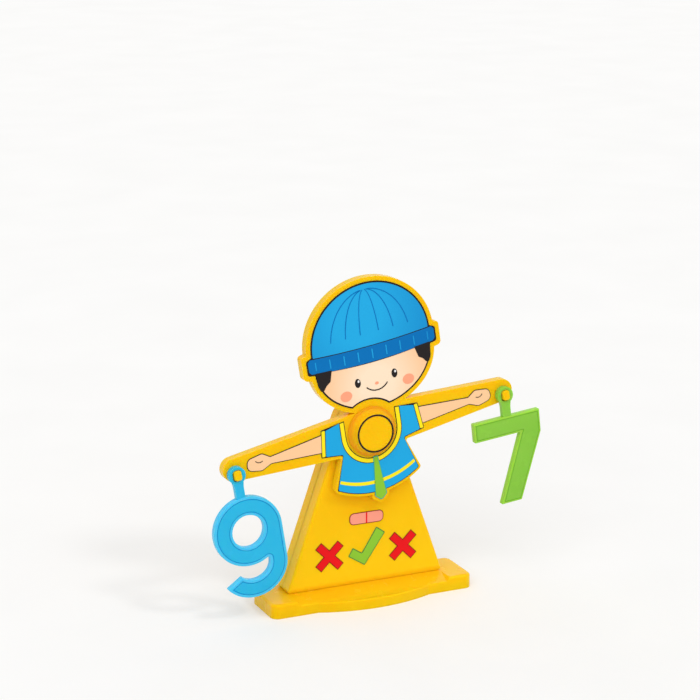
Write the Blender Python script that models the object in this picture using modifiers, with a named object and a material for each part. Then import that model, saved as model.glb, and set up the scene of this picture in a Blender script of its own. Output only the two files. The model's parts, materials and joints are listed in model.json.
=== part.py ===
# Number balance: a toy scale. A tower on a flat base carries a doll-shaped beam
# that tilts about one axle, and a number hangs from a peg at the end of each arm.
# Lengths are in metres. +X is to the viewer's right, -Y is towards the viewer, +Z is up.
# The origin is the middle of the base's underside.

import math

import bmesh
import bpy
from mathutils import Matrix, Vector

# Clearances
GAP = 0.0003              # between pieces that touch
PIVOT_PLAY = 0.0003       # radial, axle in its bush
EYE_CLEARANCE = 0.0009    # all round, peg in the eye of a number
FIGURE_GAP = 0.0015       # tower's front face to the figure's back
PEG_HOLE_CLEARANCE = 0.0005
SINK = 0.0005             # how far a boss runs into the wall that carries it
CUT_PAST = 0.001          # how far a cutter runs past a face
TOUCH = 0.00001           # two levels closer than this are the same

# Base
BASE_LENGTH = 0.220
BASE_DEPTH = 0.056
BASE_HEIGHT = 0.0148
BASE_CORNER = 0.008
BASE_EDGE = 0.003
BASE_WALL = 0.0025
TOE_LENGTH = 0.122
TOE_REACH = 0.012
TOE_HEIGHT = 0.0105
TOE_EDGE = 0.002
TOE_ROOT = 0.009
SCOOP_BACK = 0.012
SCOOP_LIP = 0.0001
UNDERPLATE_THICKNESS = 0.0025
BASE_SCREW_FROM_END = 0.015
BASE_SCREW_FROM_SIDE = 0.012
BASE_BOSS_RADIUS = 0.004

# Tower
TOWER_FRONT_Y = -0.0075
TOWER_FRONT_DEPTH = 0.017
TOWER_REAR_DEPTH = 0.0135
TOWER_FOOT_HALF = 0.086
TOWER_FOOT_CORNER = 0.003
TOWER_TOP_RADIUS = 0.0270
TOWER_EDGE = 0.002
TOWER_WALL = 0.0022
TOWER_SCREW_PLACES = ((0.050, 0.046), (0.020, 0.132))
TOWER_POST_RADIUS = 0.0050
TOWER_POST_FLOOR = 0.003
FOOT_SCREW_FROM_SIDE = 0.050
FOOT_BOSS_RADIUS = 0.004
FOOT_BOSS_HEIGHT = 0.014

# Pivot
PIVOT_HEIGHT = 0.178
AXLE_RADIUS = 0.003
AXLE_HEAD_RADIUS = 0.0055
AXLE_HEAD_THICKNESS = 0.002
AXLE_BOSS_RADIUS = 0.0065
AXLE_BOSS_LENGTH = 0.012
BUSH_WALL = 0.0020
BUSH_FLANGE_RADIUS = 0.0080
KNOB_SKIRT_RADIUS = 0.0255
KNOB_SKIRT_THICKNESS = 0.0015
KNOB_FACE_RADIUS = 0.0200
KNOB_EDGE = 0.0010
KNOB_HEIGHT = 0.0098
KNOB_BORE_DEPTH = 0.0070
KNOB_RING_RADIUS = 0.0186
KNOB_RING_WIDTH = 0.0016

# Tilt: the figure rests on its left stop and can go as far the other way
TILT = 9.0
STOP_RADIUS = 0.0190
STOP_PIN_RADIUS = 0.0024
STOP_PIN_LENGTH = 0.0034

# Figure: a hollow plate, in a level frame with the pivot as its origin
FIGURE_THICKNESS = 0.010
FIGURE_WALL = 0.0016
FIGURE_EDGE = 0.0014
COVER_THICKNESS = 0.0020
HEAD_X = 0.013
HEAD_TOP = 0.155
DOME_HALF = 0.0685
DOME_Z = 0.090
CUFF_HALF = 0.0745
CUFF_TOP = 0.0930
CUFF_LOW = 0.0670
CUFF_CORNER = 0.005
CUFF_TAPER = 0.0012
FACE_HALF = 0.067
FACE_Z = 0.072
FACE_DROP = 0.0541
NECK_HALF = 0.027
ARM_REACH = 0.147
ARM_TIP_RADIUS = 0.0115
ARM_TIP_Z = 0.0015
ARMPIT_X = 0.035
ARMPIT_Z = -0.019
HEM_HALF = 0.0475
HEM_SIDE_Z = -0.0515
HEM_LOW_Z = -0.0665
HEM_BOW_RADIUS = 0.087
HEM_CORNER = 0.003
TAB_HALF = 0.009
TAB_SIDE_Z = -0.0705
TAB_TIP_Z = -0.0770
CREASE = 0.002
HEAD_CREASE = 0.001
HUB_RADIUS = 0.0085
FIGURE_POST_RADIUS = 0.0032
ARM_POST_FROM_TIP = 0.035
HEAD_POST_X = 0.046
HEAD_POST_Z = 0.104
BODY_POST_X = 0.022
BODY_POST_Z = -0.040

# Counterweight: it fills the left of the body, because the head sits to the right
WEIGHT_MARGIN = 0.0012

# Pegs and numbers
PEG_WIDTH = 0.0075
PEG_TALL = 0.0100
PEG_CORNER = 0.0025
PEG_LENGTH = 0.0098
PEG_EDGE = 0.0008
PEG_RAKE = 5.0
PEG_DROP = 0.0039
PEG_FLANGE_RADIUS = 0.0054
PEG_FLANGE_THICKNESS = 0.0020
PEG_SHANK_RADIUS = 0.0040
NUMBER_THICKNESS = 0.0070
NUMBER_EDGE = 0.0012
EYE_WALL_X = 0.0040
EYE_WALL_Z = 0.0030
EYE_ROOT = 0.8            # share of the eye's half size at which the stem meets it
STEM_HALF = 0.0046
STEM_FILLET = 0.004
NINE_BOWL_X = 0.0015
NINE_BOWL_Z = -0.0585
NINE_BOWL_RADIUS = 0.0355
NINE_HOLE_RADIUS = 0.0165
NINE_STROKE = 0.0180
NINE_BOWL_END = 285.0
NINE_TAIL_Z = -0.0940
NINE_TAIL_DROP = 0.0335
NINE_TAIL_TURN = 148.0
NINE_TAIL_SLANT = 6.0
NINE_NOTCH = 0.003
SEVEN_LEAN = 2.5
SEVEN_BAR_LEFT = -0.0385
SEVEN_BAR_RIGHT = 0.0368
SEVEN_BAR_TOP_Z = -0.0222
SEVEN_BAR_TALL = 0.0202
SEVEN_ELBOW_Z = -0.0460
SEVEN_LEG_INNER_X = 0.0135
SEVEN_LEG_FOOT_X = -0.0145
SEVEN_LEG_WIDTH = 0.0232
SEVEN_FOOT_Z = -0.1145
SEVEN_CORNER = 0.0008

# Screws
SCREW_RADIUS = 0.0015
SCREW_CLEARANCE = 0.0003
SCREW_HEAD_RADIUS = 0.0030
SCREW_HEAD_HEIGHT = 0.0020
FOOT_SCREW_LENGTH = 0.0110
TOWER_SCREW_LENGTH = 0.0100
BASE_SCREW_LENGTH = 0.0080
LOW_HEAD_HEIGHT = 0.0010
FIGURE_SCREW_LENGTH = 0.0050
DRIVE_RADIUS = 0.0010
DRIVE_DEPTH = 0.0006

# Labels: printed sheets on the faces
LABEL_THICKNESS = 0.0005
HEAD_BORDER = 0.0045
BODY_BORDER = 0.0025
CHIN_RADIUS = 0.0325
NECKLINE_RADIUS = 0.0275
SHOULDER_Z = 0.0180
SLEEVE_TOP_X = 0.0530
SLEEVE_TOP_Z = 0.0152
SLEEVE_END_X = 0.0565
SLEEVE_LOW_Z = -0.0128
SLEEVE_CORNER = 0.001
FOREARM_TOP_Z = 0.0110
FOREARM_LOW_Z = -0.0080
HAND_CORNERS = (          # distance from the arm's tip, height, radius
    (0.0385, 0.0050, 0.0020),
    (0.0305, 0.0105, 0.0045),
    (0.0140, 0.0080, 0.0060),
    (0.0125, -0.0040, 0.0060),
    (0.0280, -0.0075, 0.0050),
    (0.0385, -0.0030, 0.0020),
)
POINTER_TOP_Z = -0.0265
POINTER_TOP_HALF = 0.0026
POINTER_LOW_HALF = 0.0066
POINTER_LOW_Z = -0.0680
POINTER_TIP_Z = -0.0740
MARK_X = 0.0405
MARK_Z = 0.0492
CROSS_SPAN = 0.031
CROSS_STROKE = 0.0092
TICK_Z = 0.0535
TICK_CORNERS = (
    (-0.0200, -0.0080, 0.0008),
    (-0.0020, -0.0195, 0.0008),
    (0.0205, 0.0125, 0.0008),
    (0.0110, 0.0195, 0.0008),
    (-0.0050, -0.0060, 0.0008),
    (-0.0150, 0.0005, 0.0008),
)
BAR_Z = 0.0845
BAR_LENGTH = 0.0375
BAR_WIDTH = 0.0125
BAR_CORNER = 0.0050

# Facets
ROUND_SIDES = 24
SMALL_SIDES = 12
KNOB_SIDES = 48
CORNER_STEPS = 4
ARC_STEPS = 14
EDGE_STEPS = 2
SMOOTH_ANGLE = 35.0
FLAT_ANGLE = 0.1

# Colours: red, green, blue, roughness, metallic
YELLOW_PLASTIC = (0.93, 0.53, 0.01, 0.30, 0.0)
SHADE_PLASTIC = (0.90, 0.40, 0.02, 0.35, 0.0)
CYAN_PLASTIC = (0.045, 0.50, 0.80, 0.30, 0.0)
GREEN_PLASTIC = (0.26, 0.60, 0.07, 0.30, 0.0)
BLACK_PRINT = (0.02, 0.02, 0.02, 0.50, 0.0)
BLUE_PRINT = (0.016, 0.41, 0.79, 0.45, 0.0)
SKIN_PRINT = (0.98, 0.63, 0.36, 0.45, 0.0)
RED_PRINT = (0.84, 0.012, 0.018, 0.45, 0.0)
GREEN_PRINT = (0.26, 0.60, 0.05, 0.45, 0.0)
PINK_PRINT = (0.93, 0.35, 0.26, 0.45, 0.0)
STEEL = (0.60, 0.60, 0.62, 0.30, 1.0)
WEIGHT_STEEL = (0.35, 0.36, 0.38, 0.50, 1.0)
BUSH_PLASTIC = (0.90, 0.88, 0.82, 0.40, 0.0)

# Levels that several pieces share
TOWER_FOOT_Z = BASE_HEIGHT + GAP
TOWER_SEAM_Y = TOWER_FRONT_Y + TOWER_FRONT_DEPTH
TOWER_REAR_Y = TOWER_SEAM_Y + GAP
TOWER_BACK_Y = TOWER_REAR_Y + TOWER_REAR_DEPTH
FIGURE_BACK_Y = TOWER_FRONT_Y - FIGURE_GAP
FIGURE_FRONT_Y = FIGURE_BACK_Y - FIGURE_THICKNESS
FIGURE_INNER_Y = FIGURE_FRONT_Y + FIGURE_WALL
COVER_FRONT_Y = FIGURE_BACK_Y - COVER_THICKNESS
PEG_Z = ARM_TIP_Z - PEG_DROP
AXLE_HEAD_FRONT_Y = TOWER_FRONT_Y + AXLE_BOSS_LENGTH + GAP
AXLE_HEAD_BACK_Y = AXLE_HEAD_FRONT_Y + AXLE_HEAD_THICKNESS
BUSH_RADIUS = AXLE_RADIUS + PIVOT_PLAY + BUSH_WALL
KNOB_BACK_Y = FIGURE_FRONT_Y - GAP
KNOB_FRONT_Y = KNOB_BACK_Y - KNOB_HEIGHT
NUMBER_MIDDLE_Y = FIGURE_FRONT_Y - GAP - NUMBER_THICKNESS / 2
PEG_RISE = math.tan(math.radians(PEG_RAKE))
SCREW_HOLE = SCREW_RADIUS + SCREW_CLEARANCE
HEAD_POCKET = SCREW_HEAD_RADIUS + SCREW_CLEARANCE

# How flat outlines lie: along X they are drawn in Y-Z, along Y in X-Z and along Z in X-Y
AXIS_TURNS = {
    'X': Matrix(((0, 0, 1), (1, 0, 0), (0, 1, 0))).to_4x4(),
    'Y': Matrix.Rotation(math.radians(90), 4, 'X'),
    'Z': Matrix.Identity(4),
}


# Scene and materials

def clear_scene():
    for item in list(bpy.data.objects):
        bpy.data.objects.remove(item, do_unlink=True)


def add_collection(name):
    group = bpy.data.collections.new(name)
    bpy.context.scene.collection.children.link(group)
    return group


def make_material(name, look):
    """A Principled material from red, green, blue, roughness and metallic."""
    red, green, blue, roughness, metallic = look
    material = bpy.data.materials.new(name)
    material.use_nodes = True
    shader = material.node_tree.nodes['Principled BSDF']
    shader.inputs['Base Color'].default_value = (red, green, blue, 1.0)
    shader.inputs['Roughness'].default_value = roughness
    shader.inputs['Metallic'].default_value = metallic
    material.diffuse_color = (red, green, blue, 1.0)
    return material


def finish(piece, look, parent=None):
    """Give a piece its material and soft shading, and put it in the model."""
    piece.data.materials.clear()
    piece.data.materials.append(make_material(piece.name, look))
    piece.data.shade_smooth()
    piece.data.set_sharp_from_angle(angle=math.radians(SMOOTH_ANGLE))
    piece.parent = parent
    return piece


def add_object(name, mesh):
    item = bpy.data.objects.new(name, mesh)
    PARTS.objects.link(item)
    return item


def add_empty(name, location, tilt, parent=None):
    """A joint's or seat's frame, turned about Y by a tilt in degrees."""
    empty = bpy.data.objects.new(name, None)
    PARTS.objects.link(empty)
    empty.location = location
    empty.rotation_euler.y = math.radians(tilt)
    empty.parent = parent
    return empty


# Outlines: lists of (x, z) points, or of (x, z, radius) corners before they are rounded

def arc(centre, half_width, half_height, start, end, steps=ARC_STEPS):
    """Points on an ellipse from one angle to another, in degrees."""
    points = []
    for step in range(steps + 1):
        angle = math.radians(start + (end - start) * step / steps)
        x = centre[0] + half_width * math.cos(angle)
        points.append((x, centre[1] + half_height * math.sin(angle)))
    return points


def ring(centre, half_width, half_height, sides):
    """A closed ellipse."""
    last = 360.0 - 360.0 / sides
    return arc(centre, half_width, half_height, 0.0, last, sides - 1)


def sharp(points):
    """Points as corners without rounding."""
    return [(x, z, 0.0) for x, z in points]


def mirrored(half):
    """Close the right half of an outline, listed from its top down to its foot."""
    left = []
    for corner in reversed(half):
        if corner[0] > TOUCH:
            left.append((-corner[0],) + tuple(corner[1:]))
    return list(half) + left


def rounded(corners, steps=CORNER_STEPS):
    """Replace each corner that has a radius with an arc that touches both its sides."""
    outline = []
    for index, (x, z, radius) in enumerate(corners):
        corner = Vector((x, z))
        before = Vector(corners[index - 1][:2]) - corner
        after = Vector(corners[(index + 1) % len(corners)][:2]) - corner
        if radius <= 0.0 or before.length < TOUCH or after.length < TOUCH:
            outline.append((x, z))
            continue
        opening = before.angle(after)
        reach = radius / math.tan(opening / 2)
        reach = min(reach, before.length / 2, after.length / 2)
        size = reach * math.tan(opening / 2)
        bisector = (before.normalized() + after.normalized()).normalized()
        centre = corner + bisector * size / math.sin(opening / 2)
        first = corner + before.normalized() * reach - centre
        turn = first.angle_signed(corner + after.normalized() * reach - centre)
        for step in range(steps + 1):
            spoke = first.copy()
            spoke.rotate(Matrix.Rotation(-turn * step / steps, 2))
            outline.append(tuple(centre + spoke))
    return outline


def inset(outline, distance):
    """Move every side of a closed outline inwards by a distance."""
    points = [Vector(point) for point in outline]
    area = sum(a.x * b.y - b.x * a.y for a, b in zip(points, points[1:] + points[:1]))
    side = 1.0 if area > 0 else -1.0
    result = []
    for index, point in enumerate(points):
        back = (point - points[index - 1]).normalized()
        ahead = (points[(index + 1) % len(points)] - point).normalized()
        normal_back = Vector((-back.y, back.x)) * side
        normal_ahead = Vector((-ahead.y, ahead.x)) * side
        bisector = (normal_back + normal_ahead).normalized()
        result.append(tuple(point + bisector * distance / bisector.dot(normal_ahead)))
    return result


def box_corners(left, right, low, high, radius):
    return [(left, low, radius), (right, low, radius), (right, high, radius), (left, high, radius)]


def tangent_angle(point, centre, radius, side):
    """Angle, about a circle's centre, at which the line from a point touches the circle."""
    away = Vector(point) - Vector(centre)
    return math.degrees(math.atan2(away.y, away.x) + side * math.acos(radius / away.length))


def ellipse_angle(level, centre_level, half_height):
    """Angle on the right side of an ellipse at which it reaches a level."""
    return math.degrees(math.asin((level - centre_level) / half_height))


# Solids

def store_mesh(name, shape):
    mesh = bpy.data.meshes.new(name)
    bmesh.ops.recalc_face_normals(shape, faces=shape.faces)
    shape.to_mesh(mesh)
    shape.free()
    return mesh


def flat_solid(name, outline, start, end, axis):
    """Fill a flat outline and give it thickness along an axis, from start to end."""
    curve = bpy.data.curves.new(name, 'CURVE')
    curve.dimensions = '2D'
    curve.fill_mode = 'BOTH'
    curve.extrude = abs(end - start) / 2
    spline = curve.splines.new('POLY')
    spline.points.add(len(outline) - 1)
    for point, place in zip(spline.points, outline):
        point.co = (place[0], place[1], 0.0, 1.0)
    spline.use_cyclic_u = True
    drawn = bpy.data.objects.new(name, curve)
    PARTS.objects.link(drawn)
    offset = Vector((0.0, 0.0, 0.0))
    offset['XYZ'.index(axis)] = (start + end) / 2
    drawn.matrix_world = Matrix.Translation(offset) @ AXIS_TURNS[axis]
    return curve_to_mesh(drawn, name)


def curve_to_mesh(drawn, name):
    """Turn a filled curve into a closed mesh whose caps are welded to its sides."""
    bpy.context.view_layer.update()
    evaluated = drawn.evaluated_get(bpy.context.evaluated_depsgraph_get())
    mesh = bpy.data.meshes.new_from_object(evaluated)
    mesh.transform(drawn.matrix_world)
    curve = drawn.data
    bpy.data.objects.remove(drawn, do_unlink=True)
    bpy.data.curves.remove(curve)
    shape = bmesh.new()
    shape.from_mesh(mesh)
    bpy.data.meshes.remove(mesh)
    bmesh.ops.remove_doubles(shape, verts=shape.verts, dist=TOUCH / 10)
    bmesh.ops.dissolve_limit(
        shape, angle_limit=math.radians(FLAT_ANGLE), verts=shape.verts, edges=shape.edges)
    return add_object(name, store_mesh(name, shape))


def round_rim(piece, axis, level, radius):
    """Round the outer edges of the face that a piece turns to one level of an axis."""
    index = 'XYZ'.index(axis)
    shape = bmesh.new()
    shape.from_mesh(piece.data)
    rim = []
    for edge in shape.edges:
        in_plane = all(abs(vert.co[index] - level) < TOUCH for vert in edge.verts)
        if in_plane and edge.calc_face_angle() > math.radians(SMOOTH_ANGLE):
            rim.append(edge)
    bmesh.ops.bevel(
        shape, geom=rim, offset=radius, segments=EDGE_STEPS, profile=0.5, affect='EDGES',
        clamp_overlap=True)
    shape.to_mesh(piece.data)
    shape.free()
    return piece


def bars(name, places, radius, start, end, axis='Y', sides=SMALL_SIDES):
    """Round bars along Y, or along Z, from start to end, one at each place."""
    shape = bmesh.new()
    middle = (start + end) / 2
    for across, along in places:
        if axis == 'Y':
            centre = Matrix.Translation((across, middle, along))
        else:
            centre = Matrix.Translation((across, along, middle))
        bmesh.ops.create_cone(
            shape, cap_ends=True, segments=sides, radius1=radius, radius2=radius,
            depth=abs(end - start), matrix=centre @ AXIS_TURNS[axis])
    return add_object(name, store_mesh(name, shape))


def turned(name, profile, frame, sides=ROUND_SIDES):
    """Spin a profile of (radius, height) points round the height axis of a frame."""
    mesh = bpy.data.meshes.new(name)
    edges = [(index, index + 1) for index in range(len(profile) - 1)]
    mesh.from_pydata([(radius, 0.0, height) for radius, height in profile], edges, [])
    lathe = add_object(name, mesh)
    screw = lathe.modifiers.new('turn', 'SCREW')
    screw.steps = sides
    screw.render_steps = sides
    screw.use_merge_vertices = True
    screw.merge_threshold = TOUCH
    bpy.context.view_layer.update()
    evaluated = lathe.evaluated_get(bpy.context.evaluated_depsgraph_get())
    spun = bpy.data.meshes.new_from_object(evaluated)
    spun.transform(frame)
    bpy.data.objects.remove(lathe, do_unlink=True)
    shape = bmesh.new()
    shape.from_mesh(spun)
    bpy.data.meshes.remove(spun)
    bmesh.ops.remove_doubles(shape, verts=shape.verts, dist=TOUCH)
    return add_object(name, store_mesh(name, shape))


def make_screws(name, profile, frames, parent=None):
    """Identical screws, one object each."""
    for index, frame in enumerate(frames):
        screw = turned(f'{name}_{index + 1}', profile, frame, SMALL_SIDES)
        finish(screw, STEEL, parent)


def combine(piece, tool, operation):
    """Cut a tool out of a piece, or join it on."""
    step = piece.modifiers.new(tool.name, 'BOOLEAN')
    step.operation = operation
    step.solver = 'EXACT'
    step.object = tool
    PARTS.objects.unlink(tool)
    CUTTERS.objects.link(tool)
    tool.parent = piece
    tool.hide_render = True
    tool.display_type = 'WIRE'


def cut(piece, tool):
    combine(piece, tool, 'DIFFERENCE')


def join(piece, tool):
    combine(piece, tool, 'UNION')


def front_frame(x, y, z):
    """A frame whose height runs towards the viewer."""
    return Matrix.Translation((x, y, z)) @ Matrix.Rotation(math.radians(90), 4, 'X')


def back_frame(x, y, z):
    """A frame whose height runs away from the viewer."""
    return Matrix.Translation((x, y, z)) @ Matrix.Rotation(math.radians(-90), 4, 'X')


def down_frame(x, y, z):
    """A frame whose height runs down."""
    return Matrix.Translation((x, y, z)) @ Matrix.Rotation(math.radians(180), 4, 'X')


def screw_profile(head_height, length):
    """A pan-head screw: its seat is at height 0, its head above and its shank below."""
    return (
        (0.0, head_height - DRIVE_DEPTH),
        (DRIVE_RADIUS, head_height - DRIVE_DEPTH),
        (DRIVE_RADIUS, head_height),
        (SCREW_HEAD_RADIUS, head_height),
        (SCREW_HEAD_RADIUS, 0.0),
        (SCREW_RADIUS, 0.0),
        (SCREW_RADIUS, SCREW_RADIUS - length),
        (0.0, -length),
    )


def both_sides(places):
    """Each place, and its mirror image across x = 0."""
    return [(side * x, z) for x, z in places for side in (1, -1)]


# Base

def base_plan(draw_in=0.0):
    """The base's body from above, drawn in by a distance."""
    half_length = BASE_LENGTH / 2 - draw_in
    half_depth = BASE_DEPTH / 2 - draw_in
    return rounded(box_corners(
        -half_length, half_length, -half_depth, half_depth, BASE_CORNER - draw_in))


def toe_plan(draw_in=0.0):
    """The bowed toe from above, with its root inside the body, drawn in by a distance."""
    half_toe = TOE_LENGTH / 2
    radius = (half_toe ** 2 + TOE_REACH ** 2) / (2 * TOE_REACH)
    spread = math.degrees(math.asin(half_toe / radius))
    centre = (0.0, radius - BASE_DEPTH / 2 - TOE_REACH)
    rear = TOE_ROOT - BASE_DEPTH / 2
    bow = arc(centre, radius, radius, spread - 90, -spread - 90, 2 * ARC_STEPS)
    return inset(bow + [(-half_toe, rear), (half_toe, rear)], draw_in)


def scoop_profile():
    """The wedge, in Y-Z, that lowers the base's top towards the toe."""
    front = -BASE_DEPTH / 2
    return [
        (front - CUT_PAST, BASE_HEIGHT + CUT_PAST),
        (front - CUT_PAST, TOE_HEIGHT + CUT_PAST / 2),
        (front + SCOOP_LIP, TOE_HEIGHT),
        (front + SCOOP_BACK, BASE_HEIGHT),
        (front + SCOOP_BACK, BASE_HEIGHT + CUT_PAST),
    ]


def make_base_shell():
    shell = flat_solid('base_shell', base_plan(), 0.0, BASE_HEIGHT, 'Z')
    round_rim(shell, 'Z', BASE_HEIGHT, BASE_EDGE)
    toe = flat_solid('toe', toe_plan(), 0.0, TOE_HEIGHT, 'Z')
    join(shell, round_rim(toe, 'Z', TOE_HEIGHT, TOE_EDGE))
    scoop_half = TOE_LENGTH / 2 - TOE_EDGE
    cut(shell, flat_solid('toe_scoop', scoop_profile(), -scoop_half, scoop_half, 'X'))

    low_ceiling = TOE_HEIGHT - BASE_WALL
    for name, plan in (('base_low_room', base_plan(BASE_WALL)), ('toe_room', toe_plan(BASE_WALL))):
        cut(shell, flat_solid(name, plan, -CUT_PAST, low_ceiling, 'Z'))
    room_front = SCOOP_BACK + BASE_WALL - BASE_DEPTH / 2
    half_length = BASE_LENGTH / 2 - BASE_WALL
    room = rounded(box_corners(
        -half_length, half_length, room_front, BASE_DEPTH / 2 - BASE_WALL,
        BASE_CORNER - BASE_WALL))
    cut(shell, flat_solid('base_high_room', room, CUT_PAST, BASE_HEIGHT - BASE_WALL, 'Z'))

    bosses = base_screw_places()
    boss_low = UNDERPLATE_THICKNESS + GAP
    ceiling = BASE_HEIGHT - BASE_WALL + SINK
    join(shell, bars('base_bosses', bosses, BASE_BOSS_RADIUS, boss_low, ceiling, 'Z'))
    pilot_top = LOW_HEAD_HEIGHT + GAP + BASE_SCREW_LENGTH + GAP
    cut(shell, bars('base_pilots', bosses, SCREW_HOLE, boss_low - CUT_PAST, pilot_top, 'Z'))
    holes = foot_screw_places()
    cut(shell, bars(
        'foot_screw_holes', holes, SCREW_HOLE, ceiling - CUT_PAST, BASE_HEIGHT + CUT_PAST, 'Z'))
    return finish(shell, YELLOW_PLASTIC)


def base_screw_places():
    x = BASE_LENGTH / 2 - BASE_SCREW_FROM_END
    y = BASE_DEPTH / 2 - BASE_SCREW_FROM_SIDE
    return [(-x, -y), (-x, y), (x, -y), (x, y)]


def foot_screw_places():
    x = TOWER_FOOT_HALF - FOOT_SCREW_FROM_SIDE
    middle = TOWER_FRONT_Y + TOWER_FRONT_DEPTH / 2
    return [(-x, middle), (x, middle)]


def make_base_underplate():
    draw_in = BASE_WALL + GAP
    plate = flat_solid('base_underplate', base_plan(draw_in), 0.0, UNDERPLATE_THICKNESS, 'Z')
    join(plate, flat_solid('underplate_toe', toe_plan(draw_in), 0.0, UNDERPLATE_THICKNESS, 'Z'))
    places = base_screw_places()
    pocket_top = LOW_HEAD_HEIGHT + GAP
    cut(plate, bars('underplate_pockets', places, HEAD_POCKET, -CUT_PAST, pocket_top, 'Z'))
    cut(plate, bars(
        'underplate_holes', places, SCREW_HOLE, pocket_top - CUT_PAST / 2,
        UNDERPLATE_THICKNESS + CUT_PAST, 'Z'))
    return finish(plate, SHADE_PLASTIC)


def make_base_screws():
    seat = LOW_HEAD_HEIGHT
    frames = [down_frame(x, y, seat) for x, y in base_screw_places()]
    make_screws('base_screw', screw_profile(LOW_HEAD_HEIGHT - GAP, BASE_SCREW_LENGTH), frames)


def make_tower_foot_screws():
    seat = BASE_HEIGHT - BASE_WALL - GAP
    frames = [down_frame(x, y, seat) for x, y in foot_screw_places()]
    make_screws('foot_screw', screw_profile(SCREW_HEAD_HEIGHT, FOOT_SCREW_LENGTH), frames)


# Tower

def tower_outline():
    """The tower from the front: straight sides that touch a round top."""
    top = (0.0, PIVOT_HEIGHT)
    foot = (TOWER_FOOT_HALF, TOWER_FOOT_Z)
    touch = tangent_angle(foot, top, TOWER_TOP_RADIUS, 1)
    half = sharp(arc(top, TOWER_TOP_RADIUS, TOWER_TOP_RADIUS, 90, touch))
    return rounded(mirrored(half + [(*foot, TOWER_FOOT_CORNER)]))


def make_tower_front_shell():
    shell = flat_solid('tower_front_shell', tower_outline(), TOWER_FRONT_Y, TOWER_SEAM_Y, 'Y')
    round_rim(shell, 'Y', TOWER_FRONT_Y, TOWER_EDGE)
    inner = TOWER_FRONT_Y + TOWER_WALL
    cut(shell, flat_solid(
        'tower_front_room', inset(tower_outline(), TOWER_WALL), inner, TOWER_SEAM_Y + CUT_PAST, 'Y'))
    root = inner - SINK
    posts = both_sides(TOWER_SCREW_PLACES)
    join(shell, bars('tower_front_posts', posts, TOWER_POST_RADIUS, root, TOWER_SEAM_Y))
    axle = [(0.0, PIVOT_HEIGHT)]
    boss_end = TOWER_FRONT_Y + AXLE_BOSS_LENGTH
    join(shell, bars('axle_boss', axle, AXLE_BOSS_RADIUS, root, boss_end, sides=ROUND_SIDES))
    foot_top = TOWER_FOOT_Z + FOOT_BOSS_HEIGHT
    join(shell, bars(
        'foot_bosses', foot_screw_places(), FOOT_BOSS_RADIUS,
        TOWER_FOOT_Z + TOWER_WALL - SINK, foot_top, 'Z'))

    pilot_front = TOWER_SEAM_Y - TOWER_SCREW_LENGTH
    cut(shell, bars('post_pilots', posts, SCREW_HOLE, pilot_front, TOWER_SEAM_Y + CUT_PAST))
    cut(shell, bars(
        'axle_hole', axle, AXLE_RADIUS + GAP, TOWER_FRONT_Y - CUT_PAST, boss_end + CUT_PAST,
        sides=ROUND_SIDES))
    pilot_top = BASE_HEIGHT - BASE_WALL + FOOT_SCREW_LENGTH + GAP
    cut(shell, bars(
        'foot_pilots', foot_screw_places(), SCREW_HOLE, TOWER_FOOT_Z - CUT_PAST, pilot_top, 'Z'))
    cut(shell, flat_solid(
        'stop_slot', stop_slot_outline(), TOWER_FRONT_Y - CUT_PAST, inner + CUT_PAST, 'Y'))
    return finish(shell, YELLOW_PLASTIC)


def stop_slot_outline():
    """The slot below the axle that the figure's stop pin runs in, round at both ends."""
    width = STOP_PIN_RADIUS + GAP
    pivot = (0.0, PIVOT_HEIGHT)
    left = -90 - TILT
    right = -90 + TILT
    outer = STOP_RADIUS + width
    inner = STOP_RADIUS - width
    end = arc(pivot, STOP_RADIUS, STOP_RADIUS, right, right, 1)[0]
    start = arc(pivot, STOP_RADIUS, STOP_RADIUS, left, left, 1)[0]
    outline = arc(pivot, outer, outer, left, right, CORNER_STEPS)
    outline += arc(end, width, width, right, right + 180, 2 * CORNER_STEPS)[1:-1]
    outline += arc(pivot, inner, inner, right, left, CORNER_STEPS)
    outline += arc(start, width, width, left + 180, left + 360, 2 * CORNER_STEPS)[1:-1]
    return outline


def make_tower_rear_shell():
    shell = flat_solid('tower_rear_shell', tower_outline(), TOWER_REAR_Y, TOWER_BACK_Y, 'Y')
    round_rim(shell, 'Y', TOWER_BACK_Y, TOWER_EDGE)
    inner = TOWER_BACK_Y - TOWER_WALL
    cut(shell, flat_solid(
        'tower_rear_room', inset(tower_outline(), TOWER_WALL), TOWER_REAR_Y - CUT_PAST, inner, 'Y'))
    posts = both_sides(TOWER_SCREW_PLACES)
    join(shell, bars('tower_rear_posts', posts, TOWER_POST_RADIUS, TOWER_REAR_Y, inner + SINK))
    axle = [(0.0, PIVOT_HEIGHT)]
    keeper_end = AXLE_HEAD_BACK_Y + GAP
    join(shell, bars('axle_keeper', axle, AXLE_HEAD_RADIUS, keeper_end, inner + SINK))
    floor = TOWER_REAR_Y + TOWER_POST_FLOOR
    cut(shell, bars('head_pockets', posts, HEAD_POCKET, floor, TOWER_BACK_Y + CUT_PAST))
    cut(shell, bars('post_holes', posts, SCREW_HOLE, TOWER_REAR_Y - CUT_PAST, floor + CUT_PAST))
    return finish(shell, YELLOW_PLASTIC)


def make_tower_screws():
    seat = TOWER_REAR_Y + TOWER_POST_FLOOR + GAP
    frames = [back_frame(x, seat, z) for x, z in both_sides(TOWER_SCREW_PLACES)]
    make_screws('tower_screw', screw_profile(SCREW_HEAD_HEIGHT, TOWER_SCREW_LENGTH), frames)


# Pivot

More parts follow.
